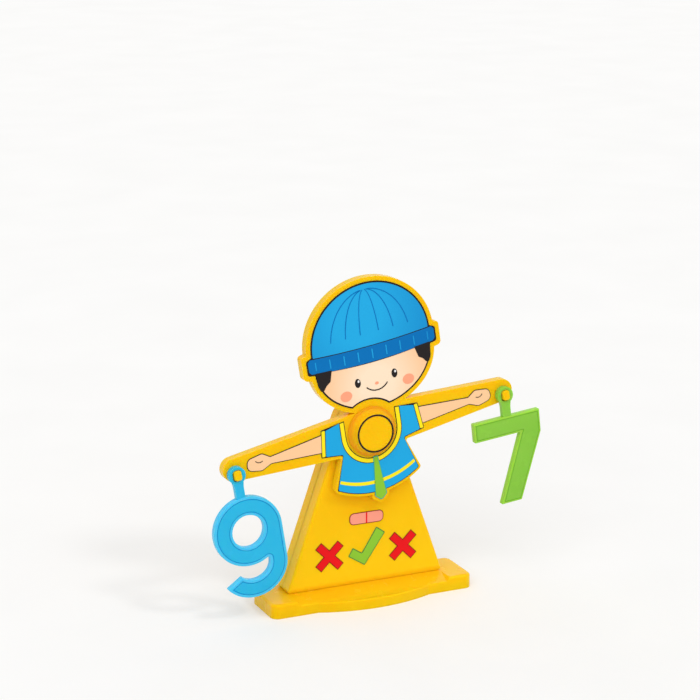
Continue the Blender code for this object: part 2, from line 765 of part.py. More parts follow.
def make_pivot_axle():
    """A headed pin: its head is inside the tower and its tip is in the knob."""
    tip_y = KNOB_BACK_Y - KNOB_BORE_DEPTH + GAP
    height = AXLE_HEAD_BACK_Y - tip_y
    profile = (
        (0.0, height),
        (AXLE_RADIUS - GAP, height),
        (AXLE_RADIUS, height - GAP),
        (AXLE_RADIUS, AXLE_HEAD_THICKNESS),
        (AXLE_HEAD_RADIUS, AXLE_HEAD_THICKNESS),
        (AXLE_HEAD_RADIUS, 0.0),
        (0.0, 0.0),
    )
    axle = turned('pivot_axle', profile, front_frame(0.0, AXLE_HEAD_BACK_Y, PIVOT_HEIGHT))
    return finish(axle, STEEL)


def make_knob():
    """The round cap on the axle, with a skirt that flares towards the figure."""
    waist = KNOB_HEIGHT - KNOB_EDGE
    flare = arc(
        (KNOB_SKIRT_RADIUS, waist), KNOB_SKIRT_RADIUS - KNOB_FACE_RADIUS,
        waist - KNOB_SKIRT_THICKNESS, 180, 270, 2 * CORNER_STEPS)
    bore = AXLE_RADIUS + GAP
    profile = [(0.0, KNOB_HEIGHT), (KNOB_FACE_RADIUS - KNOB_EDGE, KNOB_HEIGHT)]
    profile += flare
    profile += [(KNOB_SKIRT_RADIUS, 0.0), (bore, 0.0), (bore, KNOB_BORE_DEPTH)]
    profile += [(0.0, KNOB_BORE_DEPTH)]
    knob = turned('knob', profile, front_frame(0.0, KNOB_BACK_Y, PIVOT_HEIGHT), KNOB_SIDES)
    return finish(knob, YELLOW_PLASTIC)


def make_knob_ring():
    """The dark line printed round the knob's face."""
    inner = KNOB_RING_RADIUS - KNOB_RING_WIDTH / 2
    outer = KNOB_RING_RADIUS + KNOB_RING_WIDTH / 2
    profile = (
        (inner, LABEL_THICKNESS),
        (outer, LABEL_THICKNESS),
        (outer, 0.0),
        (inner, 0.0),
        (inner, LABEL_THICKNESS),
    )
    ring = turned(
        'knob_ring', profile, front_frame(0.0, KNOB_FRONT_Y - GAP, PIVOT_HEIGHT), KNOB_SIDES)
    return finish(ring, BLACK_PRINT)


def make_pivot_bush(figure):
    """A flanged sleeve in the figure's hub, whose flange runs on the tower."""
    bore = AXLE_RADIUS + PIVOT_PLAY
    flange = FIGURE_GAP - 2 * GAP
    length = FIGURE_THICKNESS + GAP + flange
    profile = (
        (bore, length),
        (BUSH_RADIUS, length),
        (BUSH_RADIUS, flange),
        (BUSH_FLANGE_RADIUS, flange),
        (BUSH_FLANGE_RADIUS, 0.0),
        (bore, 0.0),
        (bore, length),
    )
    bush = turned('pivot_bush', profile, front_frame(0.0, TOWER_FRONT_Y - GAP, 0.0))
    return finish(bush, BUSH_PLASTIC, figure)


# Figure

def head_half(border=0.0):
    """The head's right side, from its top down to the chin, drawn in by a border."""
    dome_tall = HEAD_TOP - DOME_Z - border
    dome_half = DOME_HALF - border
    face_half = FACE_HALF - border
    face_drop = FACE_DROP - border
    cuff_top = CUFF_TOP - border
    cuff_low = CUFF_LOW + border
    dome_end = ellipse_angle(max(cuff_top, DOME_Z), DOME_Z, dome_tall)
    face_start = ellipse_angle(min(cuff_low, FACE_Z), FACE_Z, face_drop)
    half = sharp(arc((0.0, DOME_Z), dome_half, dome_tall, 90, dome_end))
    half[-1] = (*half[-1][:2], HEAD_CREASE)
    corner = CUFF_CORNER - border / 2
    half.append((CUFF_HALF - border, cuff_top - CUFF_TAPER, corner))
    half.append((CUFF_HALF - border, cuff_low + CUFF_TAPER, corner))
    neck = NECK_HALF if border == 0.0 else 0.0
    face_end = -math.degrees(math.acos(neck / face_half))
    face = sharp(arc((0.0, FACE_Z), face_half, face_drop, face_start, face_end))
    face[0] = (*face[0][:2], HEAD_CREASE)
    return half + face


def hem_bow(side, low, inner, border=0.0):
    """Part of the hem's wide circle, from one place along X to another."""
    radius = HEM_BOW_RADIUS - border
    centre = low + radius
    points = []
    for step in range(CORNER_STEPS + 1):
        x = side + (inner - side) * step / CORNER_STEPS
        points.append((x, centre - math.sqrt(radius ** 2 - x ** 2)))
    return points


def figure_half(head_x):
    """Half of the figure with its head moved sideways: head, arm, body and pointer's tab."""
    half = [(x + head_x, z, radius) for x, z, radius in head_half()]
    half[-1] = (*half[-1][:2], CREASE)
    tip = (ARM_REACH, ARM_TIP_Z)
    upper = tangent_angle(half[-1][:2], tip, ARM_TIP_RADIUS, -1)
    lower = tangent_angle((ARMPIT_X, ARMPIT_Z), tip, ARM_TIP_RADIUS, 1)
    half += sharp(arc(tip, ARM_TIP_RADIUS, ARM_TIP_RADIUS, upper, lower))
    half.append((ARMPIT_X, ARMPIT_Z, CREASE))
    half.append((HEM_HALF, HEM_SIDE_Z, HEM_CORNER))
    half += sharp(hem_bow(HEM_HALF - HEM_CORNER, HEM_LOW_Z, TAB_HALF))
    half.append((TAB_HALF, TAB_SIDE_Z, CREASE))
    half.append((0.0, TAB_TIP_Z, CREASE))
    return half


def figure_outline():
    """The whole figure, whose head sits a little to the right of its body."""
    left = [(-x, z, radius) for x, z, radius in reversed(figure_half(-HEAD_X)[1:-1])]
    return rounded(figure_half(HEAD_X) + left)


def figure_post_places():
    head = [(x + HEAD_X, z) for x, z in both_sides(((HEAD_POST_X, HEAD_POST_Z),))]
    return head + both_sides((
        (ARM_REACH - ARM_POST_FROM_TIP, ARM_TIP_Z), (BODY_POST_X, BODY_POST_Z)))


def make_figure_front(figure):
    """The front of the hollow plate, with its side walls, hub and posts."""
    tray = flat_solid('figure_front', figure_outline(), FIGURE_FRONT_Y, FIGURE_BACK_Y, 'Y')
    round_rim(tray, 'Y', FIGURE_FRONT_Y, FIGURE_EDGE)
    cut(tray, flat_solid(
        'figure_room', inset(figure_outline(), FIGURE_WALL), FIGURE_INNER_Y,
        FIGURE_BACK_Y + CUT_PAST, 'Y'))
    posts = figure_post_places()
    root = FIGURE_INNER_Y - SINK
    top = COVER_FRONT_Y - GAP
    join(tray, bars('figure_posts', posts, FIGURE_POST_RADIUS, root, top))
    join(tray, bars('figure_hub', [(0.0, 0.0)], HUB_RADIUS, root, top, sides=ROUND_SIDES))
    cut(tray, bars(
        'figure_pilots', posts, SCREW_HOLE, COVER_FRONT_Y - FIGURE_SCREW_LENGTH, top + CUT_PAST))
    cut(tray, bars(
        'hub_bore', [(0.0, 0.0)], BUSH_RADIUS + GAP, FIGURE_FRONT_Y - CUT_PAST, top + CUT_PAST,
        sides=ROUND_SIDES))
    for side in (-1, 1):
        hole = peg_outline(side * ARM_REACH, PEG_HOLE_CLEARANCE)
        cut(tray, flat_solid(
            'peg_hole', hole, FIGURE_FRONT_Y - CUT_PAST, FIGURE_INNER_Y + CUT_PAST, 'Y'))
    return finish(tray, YELLOW_PLASTIC, figure)


def make_figure_back(figure):
    """The cover that closes the plate, with the stop pin on its outer face."""
    cover = flat_solid(
        'figure_back', inset(figure_outline(), FIGURE_WALL + GAP), COVER_FRONT_Y, FIGURE_BACK_Y,
        'Y')
    pin_end = FIGURE_BACK_Y + STOP_PIN_LENGTH + SINK
    join(cover, bars(
        'stop_pin', [(0.0, -STOP_RADIUS)], STOP_PIN_RADIUS, FIGURE_BACK_Y - SINK, pin_end,
        sides=ROUND_SIDES))
    posts = figure_post_places()
    pocket_floor = FIGURE_BACK_Y - LOW_HEAD_HEIGHT - GAP
    cut(cover, bars('cover_pockets', posts, HEAD_POCKET, pocket_floor, FIGURE_BACK_Y + CUT_PAST))
    cut(cover, bars(
        'cover_holes', posts, SCREW_HOLE, COVER_FRONT_Y - CUT_PAST, pocket_floor + CUT_PAST / 2))
    cut(cover, bars(
        'cover_bore', [(0.0, 0.0)], BUSH_RADIUS + GAP, COVER_FRONT_Y - CUT_PAST,
        FIGURE_BACK_Y + CUT_PAST, sides=ROUND_SIDES))
    return finish(cover, SHADE_PLASTIC, figure)


def make_figure_screws(figure):
    seat = FIGURE_BACK_Y - LOW_HEAD_HEIGHT
    frames = [back_frame(x, seat, z) for x, z in figure_post_places()]
    profile = screw_profile(LOW_HEAD_HEIGHT - GAP, FIGURE_SCREW_LENGTH - GAP)
    make_screws('figure_screw', profile, frames, figure)


def make_counterweight(figure):
    """The steel plate between the hub, the right post and the body's left wall."""
    lean = (HEM_HALF - ARMPIT_X) / (ARMPIT_Z - HEM_SIDE_Z)
    wall = FIGURE_WALL + WEIGHT_MARGIN
    top = -HUB_RADIUS - WEIGHT_MARGIN
    right = BODY_POST_X - FIGURE_POST_RADIUS - WEIGHT_MARGIN
    low_left = HEM_HALF - HEM_CORNER - wall
    top_left = ARMPIT_X + (ARMPIT_Z - top) * lean - wall
    corners = sharp(hem_bow(-low_left, HEM_LOW_Z + wall, right, wall))
    corners.append((right, top, CREASE))
    corners.append((-top_left, top, CREASE))
    weight = flat_solid(
        'counterweight', rounded(corners), FIGURE_INNER_Y + GAP, COVER_FRONT_Y - GAP, 'Y')
    post = [(-BODY_POST_X, BODY_POST_Z)]
    cut(weight, bars('weight_hole', post, FIGURE_POST_RADIUS + GAP, FIGURE_FRONT_Y, FIGURE_BACK_Y))
    return finish(weight, WEIGHT_STEEL, figure)


# Pegs

def peg_outline(x, grow=0.0):
    """A peg's section, grown by a clearance all round."""
    half_width = PEG_WIDTH / 2 + grow
    half_tall = PEG_TALL / 2 + grow
    return rounded(box_corners(
        x - half_width, x + half_width, PEG_Z - half_tall, PEG_Z + half_tall, PEG_CORNER + grow))


def make_peg(name, side, figure):
    """A raked post on a flange that is clamped inside the end of an arm."""
    x = side * ARM_REACH
    seat = FIGURE_INNER_Y + GAP
    peg = bars(
        name, [(x, PEG_Z)], PEG_FLANGE_RADIUS, seat, seat + PEG_FLANGE_THICKNESS,
        sides=ROUND_SIDES)
    join(peg, bars(
        name + '_shank', [(x, PEG_Z)], PEG_SHANK_RADIUS, seat + SINK, COVER_FRONT_Y - GAP))
    tip = FIGURE_FRONT_Y - PEG_LENGTH
    post = flat_solid(name + '_post', peg_outline(x), tip, seat + SINK, 'Y')
    round_rim(post, 'Y', tip, PEG_EDGE)
    root = Matrix.Translation((x, FIGURE_FRONT_Y, PEG_Z))
    rake = Matrix.Rotation(math.radians(-PEG_RAKE), 4, 'X')
    post.data.transform(root @ rake @ root.inverted())
    join(peg, post)
    return finish(peg, YELLOW_PLASTIC, figure)


# Numbers, each in a frame with the middle of its eye as its origin

def number_seat(name, side, lean, figure):
    """The frame in which a number hangs from its peg, resting on the peg's top."""
    slope = PEG_RISE * NUMBER_THICKNESS / 2
    drop = EYE_CLEARANCE - GAP - slope
    rise = PEG_RISE * (FIGURE_FRONT_Y - NUMBER_MIDDLE_Y)
    place = (side * ARM_REACH, NUMBER_MIDDLE_Y, PEG_Z + rise - drop)
    return add_empty(name, place, lean, figure)


def eye_half_size():
    return PEG_WIDTH / 2 + EYE_CLEARANCE + EYE_WALL_X, PEG_TALL / 2 + EYE_CLEARANCE + EYE_WALL_Z


def add_eye(number, stem_low):
    """Join the eye and its stem to a number, and open the eye."""
    back = NUMBER_THICKNESS / 2
    half_width, half_tall = eye_half_size()
    eye = flat_solid(
        number.name + '_eye', ring((0.0, 0.0), half_width, half_tall, ROUND_SIDES), -back, back,
        'Y')
    neck_z = -half_tall * EYE_ROOT
    corners = [
        (-STEM_HALF, stem_low, 0.0),
        (STEM_HALF, stem_low, 0.0),
        (STEM_HALF, neck_z - STEM_FILLET, STEM_FILLET),
        (half_width * EYE_ROOT, neck_z + STEM_FILLET, 0.0),
        (-half_width * EYE_ROOT, neck_z + STEM_FILLET, 0.0),
        (-STEM_HALF, neck_z - STEM_FILLET, STEM_FILLET),
    ]
    stem = flat_solid(
        number.name + '_stem', rounded(corners), SINK - back, back - SINK, 'Y')
    for solid in (eye, stem):
        join(number, solid)
    half_width = PEG_WIDTH / 2 + EYE_CLEARANCE
    half_tall = PEG_TALL / 2 + EYE_CLEARANCE
    hole = rounded(box_corners(
        -half_width, half_width, -half_tall, half_tall, PEG_CORNER + EYE_CLEARANCE))
    cut(number, flat_solid(
        number.name + '_eye_hole', hole, -back - CUT_PAST, back + CUT_PAST, 'Y'))


def round_both_rims(piece, radius):
    half = NUMBER_THICKNESS / 2
    round_rim(piece, 'Y', -half, radius)
    round_rim(piece, 'Y', half, radius)
    return piece


def nine_outline():
    """The nine without its hole: a round bowl, a straight back and a hooked tail."""
    bowl = (NINE_BOWL_X, NINE_BOWL_Z)
    tail = (NINE_BOWL_X, NINE_TAIL_Z)
    outer = NINE_BOWL_RADIUS
    inner_half = outer - NINE_STROKE
    inner_drop = NINE_TAIL_DROP - NINE_STROKE
    corners = sharp(arc(bowl, outer, outer, 0, NINE_BOWL_END, 2 * ARC_STEPS))
    notch_top = corners[-1][1]
    corners.append((NINE_BOWL_X + inner_half, notch_top + NINE_NOTCH, NINE_NOTCH))
    inner_end = NINE_TAIL_SLANT - NINE_TAIL_TURN
    corners += sharp(arc(tail, inner_half, inner_drop, 0, inner_end))
    corners += sharp(arc(tail, outer, NINE_TAIL_DROP, -NINE_TAIL_TURN, 0))
    return rounded(corners)


def make_number_nine(seat):
    half = NUMBER_THICKNESS / 2
    nine = flat_solid('number_nine', nine_outline(), -half, half, 'Y')
    round_both_rims(nine, NUMBER_EDGE)
    wide = NINE_HOLE_RADIUS + NUMBER_EDGE + CUT_PAST
    profile = (
        (0.0, half + CUT_PAST),
        (wide, half + CUT_PAST),
        (NINE_HOLE_RADIUS, half - NUMBER_EDGE),
        (NINE_HOLE_RADIUS, NUMBER_EDGE - half),
        (wide, -half - CUT_PAST),
        (0.0, -half - CUT_PAST),
    )
    place = front_frame(NINE_BOWL_X, 0.0, NINE_BOWL_Z)
    cut(nine, turned('nine_hole', profile, place, 2 * ROUND_SIDES))
    add_eye(nine, NINE_BOWL_Z + NINE_BOWL_RADIUS - EYE_WALL_X)
    return finish(nine, CYAN_PLASTIC, seat)


def seven_outline():
    """The seven: a level bar and a leg that leans down to the left."""
    bar_low = SEVEN_BAR_TOP_Z - SEVEN_BAR_TALL
    corners = [
        (SEVEN_BAR_LEFT, SEVEN_BAR_TOP_Z, SEVEN_CORNER),
        (SEVEN_BAR_LEFT, bar_low, SEVEN_CORNER),
        (SEVEN_LEG_INNER_X, bar_low, SEVEN_CORNER),
        (SEVEN_LEG_FOOT_X, SEVEN_FOOT_Z, SEVEN_CORNER),
        (SEVEN_LEG_FOOT_X + SEVEN_LEG_WIDTH, SEVEN_FOOT_Z, SEVEN_CORNER),
        (SEVEN_BAR_RIGHT, SEVEN_ELBOW_Z, SEVEN_CORNER),
        (SEVEN_BAR_RIGHT, SEVEN_BAR_TOP_Z, SEVEN_CORNER),
    ]
    return rounded(corners)


def make_number_seven(seat):
    half = NUMBER_THICKNESS / 2
    seven = flat_solid('number_seven', seven_outline(), -half, half, 'Y')
    round_both_rims(seven, NUMBER_EDGE)
    add_eye(seven, SEVEN_BAR_TOP_Z - EYE_WALL_X)
    return finish(seven, GREEN_PLASTIC, seat)


# Labels

def figure_label(name, outline, level=0):
    """A printed sheet on the figure's front face, or on the sheets already there."""
    back = FIGURE_FRONT_Y - GAP - level * (LABEL_THICKNESS + GAP)
    return flat_solid(name, outline, back - LABEL_THICKNESS, back, 'Y')


def tower_label(name, outline):
    """A printed sheet on the tower's front face."""
    back = TOWER_FRONT_Y - GAP
    return flat_solid(name, outline, back - LABEL_THICKNESS, back, 'Y')


def label_cutter(name, outline):
    """A cutter that runs right through the sheets on the figure's front face."""
    return flat_solid(name, outline, FIGURE_FRONT_Y - CUT_PAST - GAP, FIGURE_FRONT_Y + CUT_PAST, 'Y')


def make_head_label(figure):
    outline = [(x + HEAD_X, z) for x, z in rounded(mirrored(head_half(HEAD_BORDER)))]
    label = figure_label('head_label', outline)
    chin = ring((0.0, 0.0), CHIN_RADIUS, CHIN_RADIUS, KNOB_SIDES)
    cut(label, label_cutter('chin_cut', chin))
    return finish(label, SKIN_PRINT, figure)


def shirt_outline():
    lean = (HEM_HALF - ARMPIT_X) / (ARMPIT_Z - HEM_SIDE_Z)
    hem_side = HEM_HALF - BODY_BORDER
    half = [
        (NECKLINE_RADIUS, SHOULDER_Z, 0.0),
        (SLEEVE_TOP_X, SLEEVE_TOP_Z, SLEEVE_CORNER),
        (SLEEVE_END_X, SLEEVE_LOW_Z, SLEEVE_CORNER),
        (ARMPIT_X - BODY_BORDER + BODY_BORDER * lean, ARMPIT_Z + BODY_BORDER, CREASE),
        (hem_side, HEM_SIDE_Z, HEM_CORNER),
    ]
    low = HEM_LOW_Z + BODY_BORDER
    half += sharp(hem_bow(hem_side - HEM_CORNER, low, 0.0, BODY_BORDER))
    return rounded(mirrored(half))


def make_shirt_label(figure):
    label = figure_label('shirt_label', shirt_outline())
    neckline = arc((0.0, 0.0), NECKLINE_RADIUS, NECKLINE_RADIUS, 180, 360, 2 * ARC_STEPS)
    neckline += [(NECKLINE_RADIUS, SHOULDER_Z + CUT_PAST), (-NECKLINE_RADIUS, SHOULDER_Z + CUT_PAST)]
    cut(label, label_cutter('neckline_cut', neckline))
    return finish(label, BLUE_PRINT, figure)


def make_pointer_label(figure):
    """The long arrow on the shirt that points at the marks on the tower."""
    outline = mirrored([
        (POINTER_TOP_HALF, POINTER_TOP_Z),
        (POINTER_LOW_HALF, POINTER_LOW_Z),
        (0.0, POINTER_TIP_Z),
    ])
    label = figure_label('pointer_label', outline, 1)
    return finish(label, GREEN_PRINT, figure)


def make_arm_label(name, side, figure):
    """A bare forearm with a mitten-shaped hand."""
    corners = [(SLEEVE_END_X + GAP, FOREARM_TOP_Z, 0.0)]
    corners += [(ARM_REACH - x, z, radius) for x, z, radius in HAND_CORNERS]
    corners.append((SLEEVE_END_X + GAP, FOREARM_LOW_Z, 0.0))
    corners = [(side * x, z, radius) for x, z, radius in corners]
    return finish(figure_label(name, rounded(corners)), SKIN_PRINT, figure)


def make_cross_label(name, x):
    """A plain diagonal cross."""
    half = CROSS_STROKE / 2
    reach = CROSS_SPAN / math.sqrt(2) - half
    outline = []
    for quarter in range(4):
        turn = Matrix.Rotation(math.radians(45 + 90 * quarter), 2)
        for along, across in ((half, -half), (reach, -half), (reach, half)):
            point = turn @ Vector((along, across))
            outline.append((x + point.x, MARK_Z + point.y))
    return finish(tower_label(name, outline), RED_PRINT)


def make_tick_label():
    """A plain tick."""
    corners = [(x, TICK_Z + z, radius) for x, z, radius in TICK_CORNERS]
    return finish(tower_label('tick_label', rounded(corners)), GREEN_PRINT)


def make_bar_label():
    """A level bar with rounded ends, above the tick."""
    half_length = BAR_LENGTH / 2
    low = BAR_Z - BAR_WIDTH / 2
    corners = box_corners(-half_length, half_length, low, low + BAR_WIDTH, BAR_CORNER)
    return finish(tower_label('bar_label', rounded(corners)), PINK_PRINT)


def build():
    make_base_shell()
    make_base_underplate()
    make_base_screws()
    make_tower_foot_screws()
    make_tower_front_shell()
    make_tower_rear_shell()
    make_tower_screws()
    make_pivot_axle()
    make_knob()
    make_knob_ring()
    make_cross_label('cross_label_left', -MARK_X)
    make_cross_label('cross_label_right', MARK_X)
    make_tick_label()
    make_bar_label()

    figure = add_empty('figure_pivot', (0.0, 0.0, PIVOT_HEIGHT), -TILT)
    make_figure_front(figure)
    make_figure_back(figure)
    make_figure_screws(figure)
    make_counterweight(figure)
    make_pivot_bush(figure)
    make_peg('left_peg', -1, figure)
    make_peg('right_peg', 1, figure)
    make_head_label(figure)
    make_shirt_label(figure)
    make_arm_label('left_arm_label', -1, figure)
    make_arm_label('right_arm_label', 1, figure)
    make_pointer_label(figure)
    make_number_nine(number_seat('left_seat', -1, 0.0, figure))
    make_number_seven(number_seat('right_seat', 1, SEVEN_LEAN, figure))


clear_scene()
PARTS = add_collection('number_balance')
CUTTERS = add_collection('cutters')
build()
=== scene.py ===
# Number balance, dressed: a doll-shaped beam on a tower, with a nine and a seven on its pegs.
# Lengths are in metres. +X is to the viewer's right, -Y towards the viewer, +Z up.
import json
import math

import bmesh
import bpy
from mathutils import Matrix, Vector
from mathutils.geometry import intersect_line_line_2d


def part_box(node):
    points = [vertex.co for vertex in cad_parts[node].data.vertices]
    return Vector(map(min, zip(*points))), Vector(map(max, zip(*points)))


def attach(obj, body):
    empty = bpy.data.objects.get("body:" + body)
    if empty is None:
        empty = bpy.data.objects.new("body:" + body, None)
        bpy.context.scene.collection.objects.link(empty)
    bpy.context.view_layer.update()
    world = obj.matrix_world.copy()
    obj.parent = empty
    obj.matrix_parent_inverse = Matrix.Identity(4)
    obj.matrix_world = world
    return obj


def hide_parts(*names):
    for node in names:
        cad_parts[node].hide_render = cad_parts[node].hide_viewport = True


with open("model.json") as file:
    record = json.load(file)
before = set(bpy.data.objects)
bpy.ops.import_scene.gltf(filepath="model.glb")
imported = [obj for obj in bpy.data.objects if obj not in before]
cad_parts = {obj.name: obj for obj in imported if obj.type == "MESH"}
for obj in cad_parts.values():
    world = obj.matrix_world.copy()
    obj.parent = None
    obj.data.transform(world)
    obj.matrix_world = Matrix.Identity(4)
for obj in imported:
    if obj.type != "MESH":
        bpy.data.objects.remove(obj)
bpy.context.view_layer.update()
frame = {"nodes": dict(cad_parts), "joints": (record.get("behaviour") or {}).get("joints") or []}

MM = 0.001
TOUCH = 1e-6           # two places closer than this are the same
CUT_PAST = 1.0 * MM    # how far a cutter runs past a face

# What the frame says
JOINT_PLACES = {joint["name"]: joint.get("pos_m") for joint in frame["joints"]}
PIVOT = Vector(JOINT_PLACES["beam_tilt"])
DOLL_FRONT, DOLL_BACK = (corner.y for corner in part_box("figure_front"))
TOWER_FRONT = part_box("tower_front_shell")[0].y
TOWER_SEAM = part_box("tower_front_shell")[1].y
REAR_SEAM, TOWER_BACK = (corner.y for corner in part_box("tower_rear_shell"))
TOWER_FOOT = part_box("tower_front_shell")[0].z
BASE_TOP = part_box("base_shell")[1].z
KNOB_FRONT, KNOB_BACK = (corner.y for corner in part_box("knob"))
NUMBER_FRONT, NUMBER_BACK = (corner.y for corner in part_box("number_nine"))


def middle(node):
    low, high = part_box(node)
    return (low + high) / 2


PEG_LINE = middle("right_peg") - middle("left_peg")
TILT = math.atan2(PEG_LINE.z, PEG_LINE.x)
BEAM = Matrix.Translation(PIVOT) @ Matrix.Rotation(-TILT, 4, "Y")
LEVEL = Matrix.Identity(4)

# Doll plate
PLATE_EDGE = 1.4 * MM
PLATE_WALL = 1.6 * MM
COVER_DEPTH = 2.0 * MM
SEAT_GAP = 0.3 * MM
HEAD_X = 13.0 * MM
HEAD_TOP = 155.0 * MM
DOME_HALF = 68.5 * MM
DOME_Z = 90.0 * MM
CUFF_HALF = 74.5 * MM
CUFF_TOP = 93.0 * MM
CUFF_LOW = 67.0 * MM
CUFF_CORNER = 5.0 * MM
CUFF_TAPER = 1.2 * MM
FACE_HALF = 67.0 * MM
FACE_Z = 72.0 * MM
FACE_DROP = 54.1 * MM
NECK_HALF = 27.0 * MM
ARM_REACH = 147.0 * MM
ARM_TIP_RADIUS = 11.5 * MM
ARM_TIP_Z = 1.5 * MM
ARMPIT_X = 35.0 * MM
ARMPIT_Z = -19.0 * MM
HEM_HALF = 47.5 * MM
HEM_SIDE_Z = -51.5 * MM
HEM_LOW_Z = -66.5 * MM
HEM_RADIUS = 87.0 * MM
HEM_CORNER = 3.0 * MM
TAB_HALF = 9.0 * MM
TAB_SIDE_Z = -70.5 * MM
TAB_TIP_Z = -77.0 * MM
CREASE = 2.0 * MM
HEAD_CREASE = 1.0 * MM
STOP_RADIUS = 19.0 * MM
STOP_PIN = 2.4 * MM
STOP_PIN_LENGTH = 3.4 * MM
STOP_PIN_ROOT = 0.5 * MM
BUSH_HOLE = 5.6 * MM
BACK_EDGE = 0.3 * MM
COVER_EDGE = 0.35 * MM
PEG_ROOM_FLOOR = 3.0 * MM
POCKET_RADIUS = 3.3 * MM
POCKET_DEPTH = 1.3 * MM

# Prints
INK_STEP = 0.24 * MM
INK_LINE = 0.8 * MM
HEAD_LINE = 1.7 * MM
HEAD_BORDER = 4.5 * MM
CHIN_RADIUS = 32.5 * MM
BAND_BOW = 4.0 * MM
DOME_BOW = 2.5 * MM
BAND_LIFT = (0.5 * MM, 1.5 * MM)
BAND_CORNER = 2.5 * MM
RIB_SHARES = (0.16, 0.42, 0.68)
RIB_START, RIB_END = 10, 84
RIB_TOP = 5.0 * MM
RIB_WIDTH = 0.8 * MM
STROKES = 9
STROKE_HALF = 0.6 * MM
STROKE_CORNER = 0.5 * MM
STROKE_MARGIN = 3.0 * MM
FACE_TUCK = 0.5 * MM
TUFT = ((45.0, -1.2), (61.9, -0.2))    # in millimetres, from the band's lower edge
HAIR = (               # half width, height and radius, in millimetres, below the band
    (61.4, 60.0, 2.0), (58.0, 51.5, 2.5), (52.5, 58.5, 2.5), (48.0, 61.5, 2.0))
EYE_X, EYE_LEVEL = 20.0 * MM, 52.0 * MM
EYE_SIZE = (3.1 * MM, 4.6 * MM)
GLEAM_X, GLEAM_LEVEL = 0.9 * MM, 53.8 * MM
GLEAM_SIZE = (1.0 * MM, 1.3 * MM)
CHEEK_X, CHEEK_LEVEL = 34.0 * MM, 42.0 * MM
CHEEK_SIZE = (6.2 * MM, 5.2 * MM)
NOSE_LEVEL = 47.0 * MM
NOSE_SIZE = (2.0 * MM, 1.5 * MM)
SMILE_LEVEL = 53.0 * MM
SMILE_SIZE = (14.0 * MM, 13.0 * MM)
SMILE_ENDS = (216, 324)
SMILE_LINE = 1.2 * MM
BODY_BORDER = 2.5 * MM
NECKLINE = 27.5 * MM
COLLAR_WIDTH = 4.0 * MM
COLLAR_DROP = 0.4 * MM
SHOULDER_Z = 18.0 * MM
SLEEVE_TOP = Vector((53.0 * MM, 15.2 * MM))
SLEEVE_LOW = Vector((56.5 * MM, -12.8 * MM))
SLEEVE_CORNER = 1.0 * MM
CUFF_WIDTH = 3.4 * MM
CUFF_END = 0.6 * MM
CUFF_LEAN = (0.2 * MM, 0.4 * MM)
SLEEVE_TUCK = 0.1 * MM
STRIPE_LOW = 11.5 * MM
STRIPE_TOP = 15.0 * MM
STRIPE_IN = 2.6 * MM
STRIPE_LEAN = 1.3 * MM
FOREARM_TOP = 11.0 * MM
FOREARM_LOW = -8.0 * MM
HAND = (               # distance from the arm's tip, height, radius, in millimetres
    (38.5, 5.0, 2.0), (30.5, 10.5, 4.5), (14.0, 8.0, 6.0), (12.5, -4.0, 6.0),
    (28.0, -7.5, 5.0), (38.5, -3.0, 2.0))
THUMB_FROM_TIP = 27.0 * MM
THUMB_Z = 5.5 * MM
THUMB_SIZE = (4.5 * MM, 3.6 * MM)
THUMB_ENDS = (230, 345)
THUMB_LINE = 0.7 * MM
POINTER_TOP_Z = -26.5 * MM
POINTER_TOP_HALF = 2.6 * MM
POINTER_LOW_HALF = 6.6 * MM
POINTER_LOW_Z = -68.0 * MM
POINTER_TIP_Z = -74.0 * MM
POINTER_CORNER = 1.2 * MM
POINTER_TIP = 3.0 * MM
CROSS_STROKE = 9.2 * MM
TICK = ((-20.0, -8.0), (-2.0, -19.5), (20.5, 12.5), (11.0, 19.5), (-5.0, -6.0), (-15.0, 0.5))
TICK_LOW = 19.5 * MM
TICK_CORNER = 0.8 * MM
BAR_CORNER = 5.0 * MM
BAR_STRIPE = 0.7 * MM

# Tower
TOWER_HALF = 86.0 * MM
TOWER_TOP_RADIUS = 27.0 * MM
TOWER_CORNER = 3.0 * MM
TOWER_EDGE = 3.0 * MM
SEAM_EDGE = 0.5 * MM
FOOT_ROUND = 8.0 * MM
FOOT_DRAW_IN = 3.0 * MM
FOOT_RUN_OUT = 5.0 * MM
SLOT_DEPTH = 4.0 * MM
TOWER_POCKET_FLOOR = 3.0 * MM

# Base
BASE_LENGTH = 220.0 * MM
BASE_DEPTH = 56.0 * MM
BASE_CORNER = 8.0 * MM
BASE_EDGE = 3.0 * MM
BASE_WALL = 2.5 * MM
TOE_LENGTH = 122.0 * MM
TOE_REACH = 12.0 * MM
TOE_HEIGHT = 10.5 * MM
TOE_EDGE = 1.4 * MM
SCOOP_HALF = 84.0 * MM
SCOOP_BACK = 20.0 * MM
SCOOP_EDGE = 1.6 * MM
DISH_IN = 2.0 * MM
DISH_DEPTH = 1.3 * MM
DISH_SLOPE = 4.0 * MM
DISH_BACK = 0.6 * MM
DISH_ABOVE = 0.15 * MM
SCOOP_ABOVE = 3.0 * MM
SCOOP_BELOW = 4.0 * MM
SCOOP_SKIN = 0.02 * MM
SCOOP_RUN_OUT = 8.0 * MM
SCOOP_END_LEAN = 0.7
TOE_ROOT = 9.0 * MM
TOE_ROOM_STEP = 0.05 * MM
TOE_RADIUS = ((TOE_LENGTH / 2) ** 2 + TOE_REACH ** 2) / (2 * TOE_REACH)
TOE_MIDDLE = (0.0, TOE_RADIUS - BASE_DEPTH / 2 - TOE_REACH)

